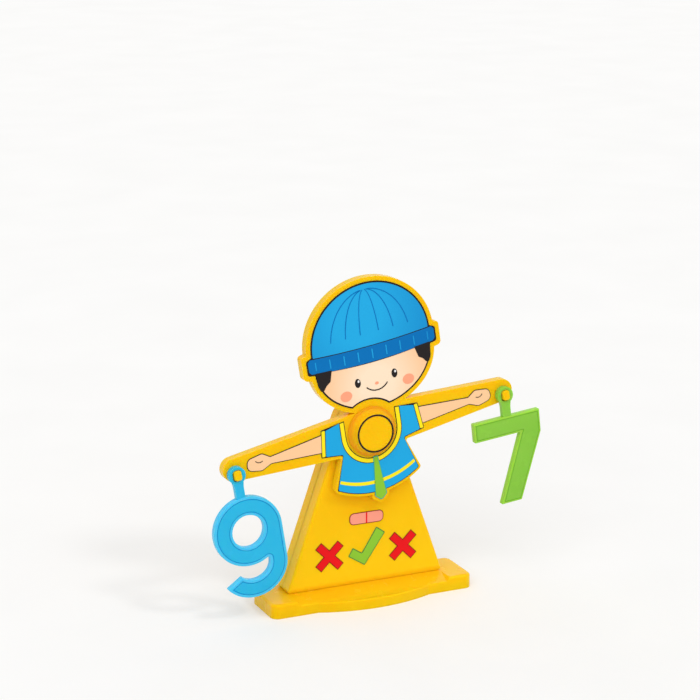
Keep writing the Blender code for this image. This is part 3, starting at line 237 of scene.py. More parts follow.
# Knob
KNOB_SKIRT = 25.5 * MM
KNOB_SKIRT_EDGE = 1.5 * MM
KNOB_FACE = 20.0 * MM
KNOB_EDGE = 1.2 * MM
KNOB_RING = 18.6 * MM
KNOB_RING_WIDTH = 1.8 * MM
KNOB_RING_SUNK = 0.05 * MM
KNOB_RING_RAISED = 0.2 * MM
KNOB_SHOULDER = 0.6 * MM

# Pegs
PEG_WIDTH = 7.5 * MM
PEG_TALL = 10.0 * MM
PEG_CORNER = 2.5 * MM
PEG_EDGE = 0.9 * MM
PEG_LENGTH = 9.8 * MM
PEG_RAKE = math.radians(5)
PEG_Z = -2.4 * MM
PEG_PLAY = 0.5 * MM
PEG_FLANGE = 5.4 * MM
PEG_FLANGE_DEPTH = 2.0 * MM

# Numbers, measured from the middle of the eye
EYE_Z = -2.36 * MM
SEVEN_LEAN = math.radians(2.5)
NUMBER_EDGE = 1.1 * MM
NINE_BORDER = 2.7 * MM
SEVEN_BORDER = 1.9 * MM
GROOVE_WIDTH = 0.9 * MM
GROOVE_DEPTH = 0.4 * MM
HANGER_SETBACK = 0.5 * MM
HANGER_EDGE = 0.9 * MM
EYE_HALF_WIDTH = 8.65 * MM
EYE_HALF_HEIGHT = 8.9 * MM
EYE_HOLE_HALF_WIDTH = 4.65 * MM
EYE_HOLE_HALF_HEIGHT = 5.9 * MM
EYE_HOLE_CORNER = 3.4 * MM
EYE_ENDS = (-52, 232)       # degrees round the eye, where the stem's fillets leave it
STEM_HALF = 4.6 * MM
STEM_TOP_Z = -12.0 * MM
STEM_FILLET = 5.0 * MM
NINE_STEM_ROOT = 1.5 * MM
SEVEN_STEM_ROOT = 1.0 * MM
FIELD_ROOT = 1.0 * MM
NINE_BOWL_X = 1.5 * MM
NINE_BOWL_Z = -58.5 * MM
NINE_BOWL = 35.5 * MM
NINE_HOLE = 16.5 * MM
NINE_STROKE = 18.0 * MM
NINE_TAIL_Z = -94.0 * MM
NINE_TAIL_DROP = 33.5 * MM
NINE_BOWL_END = 285.0      # degrees round the bowl, from its right side
NINE_TAIL_TURN = 148.0
NINE_TAIL_SLANT = 6.0
NINE_NOTCH = 3.0 * MM
SEVEN_LEFT = -38.5 * MM
SEVEN_RIGHT = 36.8 * MM
SEVEN_TOP_Z = -22.2 * MM
SEVEN_BAR_Z = -42.4 * MM
SEVEN_ELBOW_Z = -46.0 * MM
SEVEN_INNER_X = 13.5 * MM
SEVEN_FOOT_X = -14.5 * MM
SEVEN_FOOT_WIDTH = 23.2 * MM
SEVEN_FOOT_Z = -114.5 * MM

# Screws
SCREW_RADIUS = 3.0 * MM
SCREW_FLAT_HEAD = 0.7 * MM
SCREW_TALL_HEAD = 2.0 * MM
SCREW_EDGE = 0.45 * MM
SHANK_RADIUS = 1.5 * MM
SHANK_LENGTH = 4.0 * MM
DRIVE_WIDTH = 0.6 * MM
DRIVE_REACH = 1.15     # shares of the head's radius and height
DRIVE_HEIGHT = 1.1

# Camera, which looks at a point in the plane of the doll's face
CAMERA_AIM = Vector((-23.2 * MM, DOLL_FRONT, 262.8 * MM))
CAMERA_DISTANCE = 2.123
CAMERA_AZIMUTH = math.radians(-24.5)
CAMERA_ELEVATION = math.radians(14.7)
CAMERA_LENS = 112.5
SENSOR_WIDTH = 36.0

# Finishes
SHINE = 0.25
HELD_LIGHT = 0.55
GLOW_REACH = 6.0 * MM
INK_GLOSS = 0.34
MOTTLE = (0.3, 0.7)    # the part of a noise's range that is used

# Studio light
ROOM_LIGHT = 0.72
KEY_LIGHT = 1.0
KEY_PLACE = (-1.2, -1.9, 1.9)
KEY_SPREAD = math.radians(50)
GLEAM_LIGHT = 0.4
GLEAM_PLACE = (0.8, -1.3, 1.5)
GLEAM_SPREAD = math.radians(9)
FLOOR_LIFT = 0.17
BACKDROP = 0.965

FINE = 56          # steps in a long arc
CORNER_STEPS = 8   # steps in a rounded corner
SHARP_ANGLE = math.radians(30)


# Working by hand: selecting and shaping

def choose_only(piece):
    bpy.ops.object.select_all(action="DESELECT")
    piece.select_set(True)
    bpy.context.view_layer.objects.active = piece


def start_editing(piece):
    choose_only(piece)
    bpy.ops.object.mode_set(mode="EDIT")
    bpy.ops.mesh.select_all(action="SELECT")


def stop_editing():
    bpy.ops.object.mode_set(mode="OBJECT")


def pick_edges(piece, wanted):
    """In edit mode, select only the edges that a test wants."""
    bpy.ops.mesh.select_mode(type="EDGE")
    bpy.ops.mesh.select_all(action="DESELECT")
    shape = bmesh.from_edit_mesh(piece.data)
    for edge in shape.edges:
        edge.select_set(wanted(edge))
    bmesh.update_edit_mesh(piece.data)


def pick_faces(piece, wanted):
    """In edit mode, select only the faces that a test wants."""
    bpy.ops.mesh.select_mode(type="FACE")
    bpy.ops.mesh.select_all(action="DESELECT")
    shape = bmesh.from_edit_mesh(piece.data)
    for face in shape.faces:
        face.select_set(wanted(face))
    bmesh.update_edit_mesh(piece.data)


def is_sharp(edge):
    return len(edge.link_faces) == 2 and edge.calc_face_angle() > SHARP_ANGLE


def apply_modifiers(piece):
    choose_only(piece)
    for modifier in list(piece.modifiers):
        bpy.ops.object.modifier_apply(modifier=modifier.name)


def combine(piece, tool, operation):
    """Cut a tool out of a piece, or melt it on, and put the tool away."""
    step = piece.modifiers.new("shape", "BOOLEAN")
    step.operation = operation
    step.solver = "EXACT"
    step.object = tool
    apply_modifiers(piece)
    bpy.data.objects.remove(tool, do_unlink=True)
    return piece


def finish_piece(piece, material, body, nodes=(), place=LEVEL):
    """Move a finished piece to its place, shade it and let it ride on its body."""
    piece.data.transform(place)
    if material:
        piece.data.materials.clear()
        piece.data.materials.append(material)
    choose_only(piece)
    bpy.ops.object.shade_smooth_by_angle(angle=SHARP_ANGLE)
    even = piece.modifiers.new("even shading", "WEIGHTED_NORMAL")
    even.keep_sharp = True
    apply_modifiers(piece)
    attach(piece, body)
    if nodes:
        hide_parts(*nodes)
    return piece


# Outlines: lists of (x, z) points, or of (x, z, radius) corners before they are rounded

def arc(centre, half_width, half_height, start, end, steps=FINE):
    """Points on an ellipse from one angle to another, in degrees."""
    points = []
    for step in range(steps + 1):
        angle = math.radians(start + (end - start) * step / steps)
        x = centre[0] + half_width * math.cos(angle)
        points.append((x, centre[1] + half_height * math.sin(angle)))
    return points


def ring(centre, half_width, half_height, sides=FINE):
    return arc(centre, half_width, half_height, 0.0, 360.0 - 360.0 / sides, sides - 1)


def ribbon(centre, half_width, half_height, start, end, width, steps=FINE):
    """A strip of even width along part of an ellipse."""
    outer = arc(centre, half_width + width / 2, half_height + width / 2, start, end, steps)
    inner = arc(centre, half_width - width / 2, half_height - width / 2, end, start, steps)
    return outer + inner


def sharp(points):
    return [(x, z, 0.0) for x, z in points]


def moved(points, x, z=0.0):
    return [(point[0] + x, point[1] + z, *point[2:]) for point in points]


def on_side(side, points):
    """Points drawn on the right, kept there for side 1 or reflected for side -1."""
    return [(side * point[0], *point[1:]) for point in points]


def mirrored(half):
    """Close the right half of an outline, listed from its top down to its foot."""
    left = [point for point in on_side(-1, reversed(half)) if point[0] < -TOUCH]
    return list(half) + left


def rounded(corners, steps=CORNER_STEPS):
    """Replace each corner that has a radius with an arc that touches both its sides."""
    outline = []
    for index, (x, z, radius) in enumerate(corners):
        corner = Vector((x, z))
        before = Vector(corners[index - 1][:2]) - corner
        after = Vector(corners[(index + 1) % len(corners)][:2]) - corner
        if radius <= 0.0 or before.length < TOUCH or after.length < TOUCH:
            outline.append((x, z))
            continue
        opening = before.angle(after)
        reach = min(radius / math.tan(opening / 2), before.length / 2, after.length / 2)
        size = reach * math.tan(opening / 2)
        bisector = (before.normalized() + after.normalized()).normalized()
        centre = corner + bisector * size / math.sin(opening / 2)
        first = corner + before.normalized() * reach - centre
        turn = first.angle_signed(corner + after.normalized() * reach - centre)
        for step in range(steps + 1):
            spoke = first.copy()
            spoke.rotate(Matrix.Rotation(-turn * step / steps, 2))
            outline.append(tuple(centre + spoke))
    return outline


def untangled(outline):
    """Cut off the small loops that moved sides make where they cross."""
    for first in range(len(outline) - 1):
        for last in range(first + 2, min(first + 12, len(outline) - 1)):
            meeting = intersect_line_line_2d(
                outline[first], outline[first + 1], outline[last], outline[last + 1])
            if meeting:
                return untangled(outline[:first + 1] + [tuple(meeting)] + outline[last + 1:])
    return outline


def inset(outline, distance):
    """Move every side of a closed outline inwards by a distance."""
    points = [Vector(point[:2]) for point in outline]
    area = sum(a.x * b.y - b.x * a.y for a, b in zip(points, points[1:] + points[:1]))
    side = 1.0 if area > 0 else -1.0
    result = []
    for index, point in enumerate(points):
        back = (point - points[index - 1]).normalized()
        ahead = (points[(index + 1) % len(points)] - point).normalized()
        normal_back = Vector((-back.y, back.x)) * side
        normal_ahead = Vector((-ahead.y, ahead.x)) * side
        bisector = (normal_back + normal_ahead).normalized()
        result.append(tuple(point + bisector * distance / bisector.dot(normal_ahead)))
    return untangled(result)


def box_corners(half_width, low, high, radius):
    return [
        (-half_width, low, radius), (half_width, low, radius),
        (half_width, high, radius), (-half_width, high, radius)]


def tangent_angle(point, centre, radius, side):
    """Angle, about a circle's centre, at which the line from a point touches the circle."""
    away = Vector(point) - Vector(centre)
    return math.degrees(math.atan2(away.y, away.x) + side * math.acos(radius / away.length))


def start_drawing(name, dimensions):
    """A curve with nothing in it yet."""
    bpy.ops.object.select_all(action="DESELECT")
    bpy.ops.curve.primitive_bezier_circle_add(radius=0.01)
    curve = bpy.context.object
    curve.name = name
    curve.data.dimensions = dimensions
    curve.data.splines.clear()
    return curve.data


def draw_line(drawing, points, closed):
    line = drawing.splines.new("POLY")
    line.points.add(len(points) - 1)
    for point, place in zip(line.points, points):
        point.co = (place[0], place[1], 0.0, 1.0)
    line.use_cyclic_u = closed


def slab(name, outlines, near, far, upright=True):
    """Fill an outline, with any holes after it, and give it thickness: along Y if upright."""
    drawing = start_drawing(name, "2D")
    drawing.fill_mode = "BOTH"
    drawing.extrude = abs(far - near) / 2
    for outline in outlines:
        draw_line(drawing, outline, True)
    bpy.ops.object.convert(target="MESH")
    piece = bpy.context.object
    if upright:
        turn = Matrix.Translation((0, (near + far) / 2, 0)) @ Matrix.Rotation(math.pi / 2, 4, "X")
    else:
        turn = Matrix.Translation((0, 0, (near + far) / 2))
    piece.data.transform(turn)
    start_editing(piece)
    bpy.ops.mesh.remove_doubles(threshold=TOUCH)
    bpy.ops.mesh.dissolve_limited(angle_limit=math.radians(0.1))
    bpy.ops.mesh.normals_make_consistent(inside=False)
    stop_editing()
    return piece


def soften(piece, width, steps, wanted=is_sharp):
    """Round the edges that a test wants."""
    start_editing(piece)
    pick_edges(piece, wanted)
    bpy.ops.mesh.bevel(
        offset=width, offset_type="OFFSET", segments=steps, profile=0.5, affect="EDGES",
        clamp_overlap=True)
    stop_editing()
    return piece


def on_level(level, index=1):
    """A test for sharp edges that lie on one level of an axis."""
    def wanted(edge):
        return is_sharp(edge) and all(abs(vert.co[index] - level) < TOUCH for vert in edge.verts)
    return wanted


def spun(name, profile, centre, sides=128):
    """Turn a profile of (radius, distance towards the viewer) round the Y axis."""
    drawing = start_drawing(name, "3D")
    draw_line(drawing, [(radius, -out) for radius, out in profile], False)
    bpy.ops.object.convert(target="MESH")
    piece = bpy.context.object
    start_editing(piece)
    bpy.ops.mesh.spin(
        steps=sides, angle=2 * math.pi, center=(0, 0, 0), axis=(0, 1, 0), dupli=False)
    bpy.ops.mesh.select_all(action="SELECT")
    bpy.ops.mesh.remove_doubles(threshold=TOUCH)
    bpy.ops.mesh.normals_make_consistent(inside=False)
    stop_editing()
    piece.data.transform(Matrix.Translation(centre))
    return piece


def block(name, centre, size):
    bpy.ops.object.select_all(action="DESELECT")
    bpy.ops.mesh.primitive_cube_add(size=1, location=centre, scale=size)
    piece = bpy.context.object
    piece.name = name
    bpy.ops.object.transform_apply(location=True, rotation=True, scale=True)
    return piece


def round_bar(name, radius, near, far, place, sides=32):
    """A cylinder along Y between two levels, for holes, pockets and pins."""
    bpy.ops.object.select_all(action="DESELECT")
    bpy.ops.mesh.primitive_cylinder_add(
        vertices=sides, radius=radius, depth=abs(far - near),
        location=(place[0], (near + far) / 2, place[1]), rotation=(math.pi / 2, 0, 0))
    bar = bpy.context.object
    bar.name = name
    bpy.ops.object.transform_apply(location=True, rotation=True, scale=True)
    return bar


# Finishes

def new_finish(name):
    """A new material, with its node tree, its shader and the object's own coordinates."""
    material = bpy.data.materials.new(name)
    material.use_nodes = True
    tree = material.node_tree
    place = tree.nodes.new("ShaderNodeTexCoord").outputs["Object"]
    return material, tree, tree.nodes["Principled BSDF"], place


def set_inputs(tree, node, inputs):
    """Set each named input of a node to a constant, or link it to another node's output."""
    for name, value in inputs.items():
        if isinstance(value, bpy.types.NodeSocket):
            tree.links.new(value, node.inputs[name])
        else:
            node.inputs[name].default_value = value


def add_node(tree, kind, inputs, **settings):
    node = tree.nodes.new(kind)
    for name, value in settings.items():
        setattr(node, name, value)
    set_inputs(tree, node, inputs)
    return node


def add_noise(tree, scale, detail, place):
    return add_node(tree, "ShaderNodeTexNoise", {
        "Scale": scale, "Detail": detail, "Vector": place}).outputs["Fac"]


def add_range(tree, value, low, high, to_low, to_high):
    return add_node(tree, "ShaderNodeMapRange", {
        "Value": value, "From Min": low, "From Max": high, "To Min": to_low,
        "To Max": to_high}).outputs["Result"]


def add_mix(tree, factor, first, second):
    """Mix a colour, or another node's, with a second colour."""
    if not isinstance(first, bpy.types.NodeSocket):
        first = (*first, 1.0)
    return add_node(tree, "ShaderNodeMix", {
        "Factor": factor, "A": first, "B": (*second, 1.0)}, data_type="RGBA").outputs["Result"]


def add_sum(tree, operation, first, second, use_clamp=False):
    return add_node(
        tree, "ShaderNodeMath", {0: first, 1: second}, operation=operation,
        use_clamp=use_clamp).outputs["Value"]


def add_ball(tree, place, centre, reach):
    """One at a centre, falling to nothing at a reach along each axis."""
    shift = add_node(tree, "ShaderNodeMapping", {
        "Location": centre, "Scale": reach, "Vector": place}, vector_type="TEXTURE")
    return add_node(tree, "ShaderNodeTexGradient", {
        "Vector": shift.outputs["Vector"]}, gradient_type="SPHERICAL").outputs["Fac"]


def add_bump(tree, height, strength, distance):
    return add_node(tree, "ShaderNodeBump", {
        "Strength": strength, "Distance": distance, "Height": height}).outputs["Normal"]


def tinted_shine(colour):
    """Let the shine of a face seen head-on take on some of its colour."""
    tint = [channel / max(colour) for channel in colour]
    return {"Specular IOR Level": SHINE, "Specular Tint": (*tint, 1.0)}


def moulded_plastic(name, colour, deep, glow, roughness=0.24, grain=0.012):
    """Moulded plastic: slightly cloudy pigment, orange peel in the gloss, light held inside."""
    material, tree, shader, place = new_finish(name)
    cloud = add_range(tree, add_noise(tree, 14.0, 3.0, place), 0.35, 0.65, 0.0, 1.0)
    smear = add_noise(tree, 95.0, 4.0, place)
    peel = add_noise(tree, 320.0, 1.0, place)
    set_inputs(tree, shader, {
        "Base Color": add_mix(tree, cloud, deep, colour),
        "Roughness": add_range(tree, smear, *MOTTLE, roughness - 0.03, roughness + 0.05),
        "Normal": add_bump(tree, peel, grain, 0.0002),
        "IOR": 1.5,
        "Subsurface Weight": HELD_LIGHT,
        "Subsurface Radius": glow,
        "Subsurface Scale": GLOW_REACH,
        **tinted_shine(colour)})
    return material


def printed_ink(name, colour, shade, centre=None, reach=None):
    """Ink on film: a fine dot screen, and a soft airbrushed shade away from a centre."""
    material, tree, shader, place = new_finish(name)
    dots = add_node(tree, "ShaderNodeTexVoronoi", {
        "Scale": 1700.0, "Randomness": 0.15, "Vector": place})
    screen = add_range(tree, dots.outputs["Distance"], 0.0, 0.6, 0.0, 0.12)
    if centre is None:
        tone = add_range(tree, add_noise(tree, 22.0, 2.0, place), *MOTTLE, 0.0, 0.3)
    else:
        ball = add_ball(tree, place, centre, (reach, reach, reach))
        tone = add_range(tree, ball, 0.0, 0.75, 0.95, 0.0)
    smear = add_noise(tree, 130.0, 3.0, place)
    fibre = add_noise(tree, 1500.0, 2.0, place)
    set_inputs(tree, shader, {
        "Base Color": add_mix(tree, add_sum(tree, "ADD", screen, tone, True), colour, shade),
        "Roughness": add_range(tree, smear, *MOTTLE, INK_GLOSS - 0.05, INK_GLOSS + 0.07),
        "Normal": add_bump(tree, fibre, 0.04, 0.0001),
        **tinted_shine(colour)})
    return material


def plated_steel(name, colour, roughness):
    """Zinc-plated steel: a mottled crystal tone and fine turning marks."""
    material, tree, shader, place = new_finish(name)
    grain = add_noise(tree, 420.0, 4.0, place)
    marks = add_noise(tree, 2400.0, 2.0, place)
    darker = [channel * 0.72 for channel in colour]
    set_inputs(tree, shader, {
        "Base Color": add_mix(tree, add_range(tree, grain, *MOTTLE, 0.0, 1.0), darker, colour),
        "Roughness": add_range(tree, grain, *MOTTLE, roughness - 0.06, roughness + 0.12),
        "Normal": add_bump(tree, marks, 0.12, 0.0001),
        "Metallic": 1.0})
    return material


def seen_directly(tree):
    """One for rays from the camera, from a reflection and through glass, or else nothing."""
    rays = tree.nodes.new("ShaderNodeLightPath").outputs
    most = add_sum(tree, "MAXIMUM", rays["Is Camera Ray"], rays["Is Glossy Ray"])
    return add_sum(tree, "MAXIMUM", most, rays["Is Transmission Ray"])


def studio_floor(name):
    """A pale matt floor that runs into the white backdrop and keeps the toy's shadow."""
    material, tree, shader, place = new_finish(name)
    mottle = add_range(tree, add_noise(tree, 6.0, 3.0, place), *MOTTLE, 0.0, 1.0)
    set_inputs(tree, shader, {
        "Base Color": add_mix(tree, mottle, (0.78, 0.775, 0.765), (0.80, 0.795, 0.785)),
        "Roughness": 0.9,
        "Specular IOR Level": 0.0})
    lift = add_node(tree, "ShaderNodeEmission", {
        "Strength": add_range(tree, seen_directly(tree), 0.0, 1.0, 0.0, FLOOR_LIFT)})
    both = add_node(tree, "ShaderNodeAddShader", {
        0: shader.outputs["BSDF"], 1: lift.outputs["Emission"]})
    tree.links.new(both.outputs["Shader"], tree.nodes["Material Output"].inputs["Surface"])
    return material


def tinted(material, centre, reach, fade, colour):
    """Mix a second colour into a finish, by how far a point lies from a centre."""
    tree = material.node_tree
    shader = tree.nodes["Principled BSDF"]
    place = tree.nodes.new("ShaderNodeTexCoord").outputs["Object"]
    factor = add_range(tree, add_ball(tree, place, centre, reach), *fade)
    first = shader.inputs["Base Color"].links[0].from_socket
    set_inputs(tree, shader, {"Base Color": add_mix(tree, factor, first, colour)})
    return material


YELLOW_LOOK = ((0.99, 0.57, 0.007), (0.98, 0.53, 0.006), (1.0, 0.45, 0.05))
YELLOW = moulded_plastic("yellow_plastic", *YELLOW_LOOK)
KNOB_FLARE = 1 - KNOB_FACE / KNOB_SKIRT
# Painted shade: the knob's flared skirt is mixed to a deeper orange outside the flat face, standing
# in for the shade and orange glow in the crevice round the knob.
KNOB_YELLOW_PAINTED_SHADE = tinted(
    moulded_plastic("knob_plastic", *YELLOW_LOOK), PIVOT, (KNOB_SKIRT, 10.0, KNOB_SKIRT),
    (KNOB_FLARE * 0.35, KNOB_FLARE, 1.0, 0.0), (0.93, 0.36, 0.012))
# Painted light: the tower's yellow is mixed lighter and less orange towards its foot, to offset the
# shade and orange reflected light from the base.
TOWER_YELLOW_PAINTED_LIGHT = tinted(
    moulded_plastic("tower_plastic", *YELLOW_LOOK), (0.0, 0.0, TOWER_FOOT), (10.0, 10.0, 0.08),
    (0.0, 1.0, 0.0, 1.0), (1.0, 0.635, 0.010))
COVER = moulded_plastic(
    "cover_plastic", (0.93, 0.47, 0.008), (0.89, 0.42, 0.006), (1.0, 0.4, 0.05), 0.42, 0.14)
SKY = moulded_plastic(
    "nine_plastic", (0.036, 0.50, 0.77), (0.032, 0.465, 0.735), (0.2, 0.6, 1.0))
# The nine's rim look is painted light, a lighter blue for the glow and highlight on its edge; its
# groove look is painted shade, a deeper blue in the groove.
SKY_RIM_PAINTED_LIGHT = moulded_plastic(
    "nine_rim_painted_light", (0.085, 0.57, 0.86), (0.07, 0.54, 0.84), (0.2, 0.6, 1.0))
SKY_GROOVE_PAINTED_SHADE = moulded_plastic(
    "nine_groove_painted_shade", (0.008, 0.33, 0.66), (0.006, 0.30, 0.62), (0.2, 0.6, 1.0))
LIME = moulded_plastic(
    "seven_plastic", (0.28, 0.60, 0.072), (0.25, 0.56, 0.062), (0.4, 1.0, 0.2))
# The seven's rim look is painted light, a lighter green for the glow and highlight on its edge; its
# groove look is painted shade, a deeper green in the groove.
LIME_RIM_PAINTED_LIGHT = moulded_plastic(
    "seven_rim_painted_light", (0.35, 0.66, 0.07), (0.31, 0.62, 0.06), (0.4, 1.0, 0.2))
LIME_GROOVE_PAINTED_SHADE = moulded_plastic(
    "seven_groove_painted_shade", (0.18, 0.48, 0.03), (0.16, 0.44, 0.03), (0.4, 1.0, 0.2))
BUSH = moulded_plastic(
    "bush_plastic", (0.88, 0.86, 0.80), (0.84, 0.81, 0.74), (1.0, 0.8, 0.6), 0.40, 0.10)
STEEL = plated_steel("screw_steel", (0.66, 0.66, 0.68), 0.30)
WEIGHT = plated_steel("weight_steel", (0.36, 0.37, 0.39), 0.45)
FACE_MIDDLE = BEAM @ Vector((HEAD_X, DOLL_FRONT, 46 * MM))
CAP_MIDDLE = BEAM @ Vector((HEAD_X - 10 * MM, DOLL_FRONT, 118 * MM))
INK_BLACK = printed_ink("ink_black", (0.006, 0.005, 0.005), (0.009, 0.008, 0.008))
INK_SKIN = printed_ink(
    "ink_skin", (0.98, 0.80, 0.60), (0.97, 0.52, 0.24), FACE_MIDDLE, 0.070)
INK_ARM = printed_ink("ink_arm", (0.98, 0.62, 0.35), (0.96, 0.56, 0.28))
INK_BLUE = printed_ink("ink_blue", (0.020, 0.41, 0.78), (0.014, 0.33, 0.70))
INK_CAP = printed_ink(
    "ink_cap", (0.022, 0.42, 0.79), (0.010, 0.22, 0.56), CAP_MIDDLE, 0.105)
INK_NAVY = printed_ink("ink_navy", (0.006, 0.175, 0.50), (0.005, 0.14, 0.42))
INK_YELLOW = printed_ink("ink_yellow", (1.0, 0.84, 0.02), (0.98, 0.74, 0.015))
INK_RED = printed_ink("ink_red", (0.83, 0.014, 0.018), (0.70, 0.010, 0.014))
INK_MAROON = printed_ink("ink_maroon", (0.23, 0.010, 0.012), (0.18, 0.008, 0.010))
INK_GREEN = printed_ink("ink_green", (0.27, 0.58, 0.045), (0.20, 0.48, 0.035))
INK_FOREST = printed_ink("ink_forest", (0.03, 0.20, 0.06), (0.02, 0.16, 0.05))
INK_TEAL = printed_ink("ink_teal", (0.05, 0.42, 0.33), (0.04, 0.36, 0.30))
INK_PINK = printed_ink("ink_pink", (0.94, 0.36, 0.26), (0.90, 0.29, 0.20))
INK_ROSE = printed_ink("ink_rose", (0.98, 0.40, 0.24), (0.95, 0.35, 0.20))
INK_WHITE = printed_ink("ink_white", (0.93, 0.93, 0.93), (0.88, 0.88, 0.88))


# Doll plate

def head_half(border=0.0):
    """The head's right side, from its top down to the chin, drawn in by a border."""
    dome_tall = HEAD_TOP - DOME_Z - border
    face_half = FACE_HALF - border
    face_drop = FACE_DROP - border
    cuff_top = CUFF_TOP - border
    cuff_low = CUFF_LOW + border
    dome_end = math.degrees(math.asin((max(cuff_top, DOME_Z) - DOME_Z) / dome_tall))
    face_start = math.degrees(math.asin((min(cuff_low, FACE_Z) - FACE_Z) / face_drop))
    half = sharp(arc((0.0, DOME_Z), DOME_HALF - border, dome_tall, 90, dome_end))
    half[-1] = (*half[-1][:2], HEAD_CREASE)
    corner = CUFF_CORNER - border / 2
    half.append((CUFF_HALF - border, cuff_top - CUFF_TAPER, corner))
    half.append((CUFF_HALF - border, cuff_low + CUFF_TAPER, corner))
    neck = NECK_HALF if border == 0.0 else 0.0
    face_end = -math.degrees(math.acos(neck / face_half))
    face = sharp(arc((0.0, FACE_Z), face_half, face_drop, face_start, face_end))
    face[0] = (*face[0][:2], HEAD_CREASE)
    return half + face


def hem_bow(start, end, low, border=0.0, steps=16):
    """Part of the hem's wide circle, from one place along X to another."""
    radius = HEM_RADIUS - border
    points = []
    for step in range(steps + 1):
        x = start + (end - start) * step / steps
        points.append((x, low + radius - math.sqrt(radius ** 2 - x ** 2)))
    return points


def doll_half(head_x):
    """Half of the doll with its head moved sideways."""
    half = moved(head_half(), head_x)
    half[-1] = (*half[-1][:2], CREASE)
    tip = (ARM_REACH, ARM_TIP_Z)
    upper = tangent_angle(half[-1][:2], tip, ARM_TIP_RADIUS, -1)
    lower = tangent_angle((ARMPIT_X, ARMPIT_Z), tip, ARM_TIP_RADIUS, 1)
    half += sharp(arc(tip, ARM_TIP_RADIUS, ARM_TIP_RADIUS, upper, lower, 24))
    half.append((ARMPIT_X, ARMPIT_Z, CREASE))
    half.append((HEM_HALF, HEM_SIDE_Z, HEM_CORNER))
    half += sharp(hem_bow(HEM_HALF - HEM_CORNER, TAB_HALF, HEM_LOW_Z))
    half.append((TAB_HALF, TAB_SIDE_Z, CREASE))
    half.append((0.0, TAB_TIP_Z, CREASE))
    return half


def doll_outline():
    """The whole doll; its two halves differ in how far out the head reaches."""
    left = on_side(-1, reversed(doll_half(-HEAD_X)[1:-1]))
    return rounded(doll_half(HEAD_X) + left)


def screws_on(prefix, count):
    """The nodes of a group of screws."""
    return [f"{prefix}_{index + 1}" for index in range(count)]


def level_place(node):
    """A node's middle in the doll's level frame, as (x, z)."""
    place = BEAM.inverted() @ middle(node)
    return place.x, place.z


def make_doll_plate():
    """The hollow front of the doll, open behind, with a softly rounded front rim."""
    outline = doll_outline()
    plate = slab("doll_plate", [outline], DOLL_FRONT, DOLL_BACK)
    soften(plate, PLATE_EDGE, 5, on_level(DOLL_FRONT))
    soften(plate, BACK_EDGE, 2, on_level(DOLL_BACK))
    recess = slab(
        "recess", [inset(outline, PLATE_WALL)], DOLL_BACK - COVER_DEPTH - SEAT_GAP,
        DOLL_BACK + CUT_PAST)
    combine(plate, recess, "DIFFERENCE")
    hole = round_bar("bush_hole", BUSH_HOLE, DOLL_FRONT - CUT_PAST, DOLL_BACK, (0.0, 0.0), 64)
    combine(plate, hole, "DIFFERENCE")
    for side in (-1, 1):
        room = slab(
            "peg_room", [peg_outline(side, PEG_PLAY)], DOLL_FRONT - CUT_PAST,
            DOLL_BACK - PEG_ROOM_FLOOR)
        combine(plate, room, "DIFFERENCE")
    finish_piece(plate, YELLOW, "figure", ["figure_front"], BEAM)


def make_doll_cover():
    """The rear cover, let into the plate, with its stop pin and screw pockets."""
    outline = inset(doll_outline(), PLATE_WALL + SEAT_GAP)
    cover = slab("doll_cover", [outline], DOLL_BACK - COVER_DEPTH, DOLL_BACK)
    soften(cover, COVER_EDGE, 2, on_level(DOLL_BACK))
    pin = round_bar(
        "stop_pin", STOP_PIN, DOLL_BACK - STOP_PIN_ROOT,
        DOLL_BACK + STOP_PIN_LENGTH + STOP_PIN_ROOT, (0.0, -STOP_RADIUS))
    combine(cover, pin, "UNION")
    for node in screws_on("figure_screw", 6):
        pocket = round_bar(
            "pocket", POCKET_RADIUS, DOLL_BACK - POCKET_DEPTH, DOLL_BACK + CUT_PAST,
            level_place(node))
        combine(cover, pocket, "DIFFERENCE")
    bore = round_bar(
        "bore", BUSH_HOLE, DOLL_BACK - COVER_DEPTH - CUT_PAST, DOLL_BACK + CUT_PAST, (0.0, 0.0), 64)
    combine(cover, bore, "DIFFERENCE")
    finish_piece(cover, COVER, "figure", ["figure_back"], BEAM)


# Prints

def print_film(front, body, place, name, outline, level, ink, nodes, cutter=None):
    """A sheet of ink on a face; higher levels lie on lower ones."""
    back = front - level * INK_STEP
    sheet = slab(name, [outline], back - INK_STEP, back)
    if cutter:
        tool = slab("trim", [cutter], back - INK_STEP - CUT_PAST, back + CUT_PAST)
        combine(sheet, tool, "DIFFERENCE")
    return finish_piece(sheet, ink, body, nodes, place)


def print_on_doll(name, outline, level, ink, nodes=(), cutter=None):
    return print_film(
        DOLL_FRONT, "figure", BEAM, name, outline, level, ink, nodes, cutter)


def print_on_head(name, outline, level, ink):
    """A print that is laid out about the middle of the head."""
    return print_on_doll(name, moved(outline, HEAD_X), level, ink)


def print_on_tower(name, outline, level, ink, nodes=()):
    return print_film(TOWER_FRONT, "stand", LEVEL, name, outline, level, ink, nodes)


def bow_line(half, level, bow, steps=24):
    """A shallow hanging curve from the left to the right, lowest in the middle."""
    points = []
    for step in range(steps + 1):
        x = -half + 2 * half * step / steps
        points.append((x, level - bow * (1 - (x / half) ** 2)))
    return points


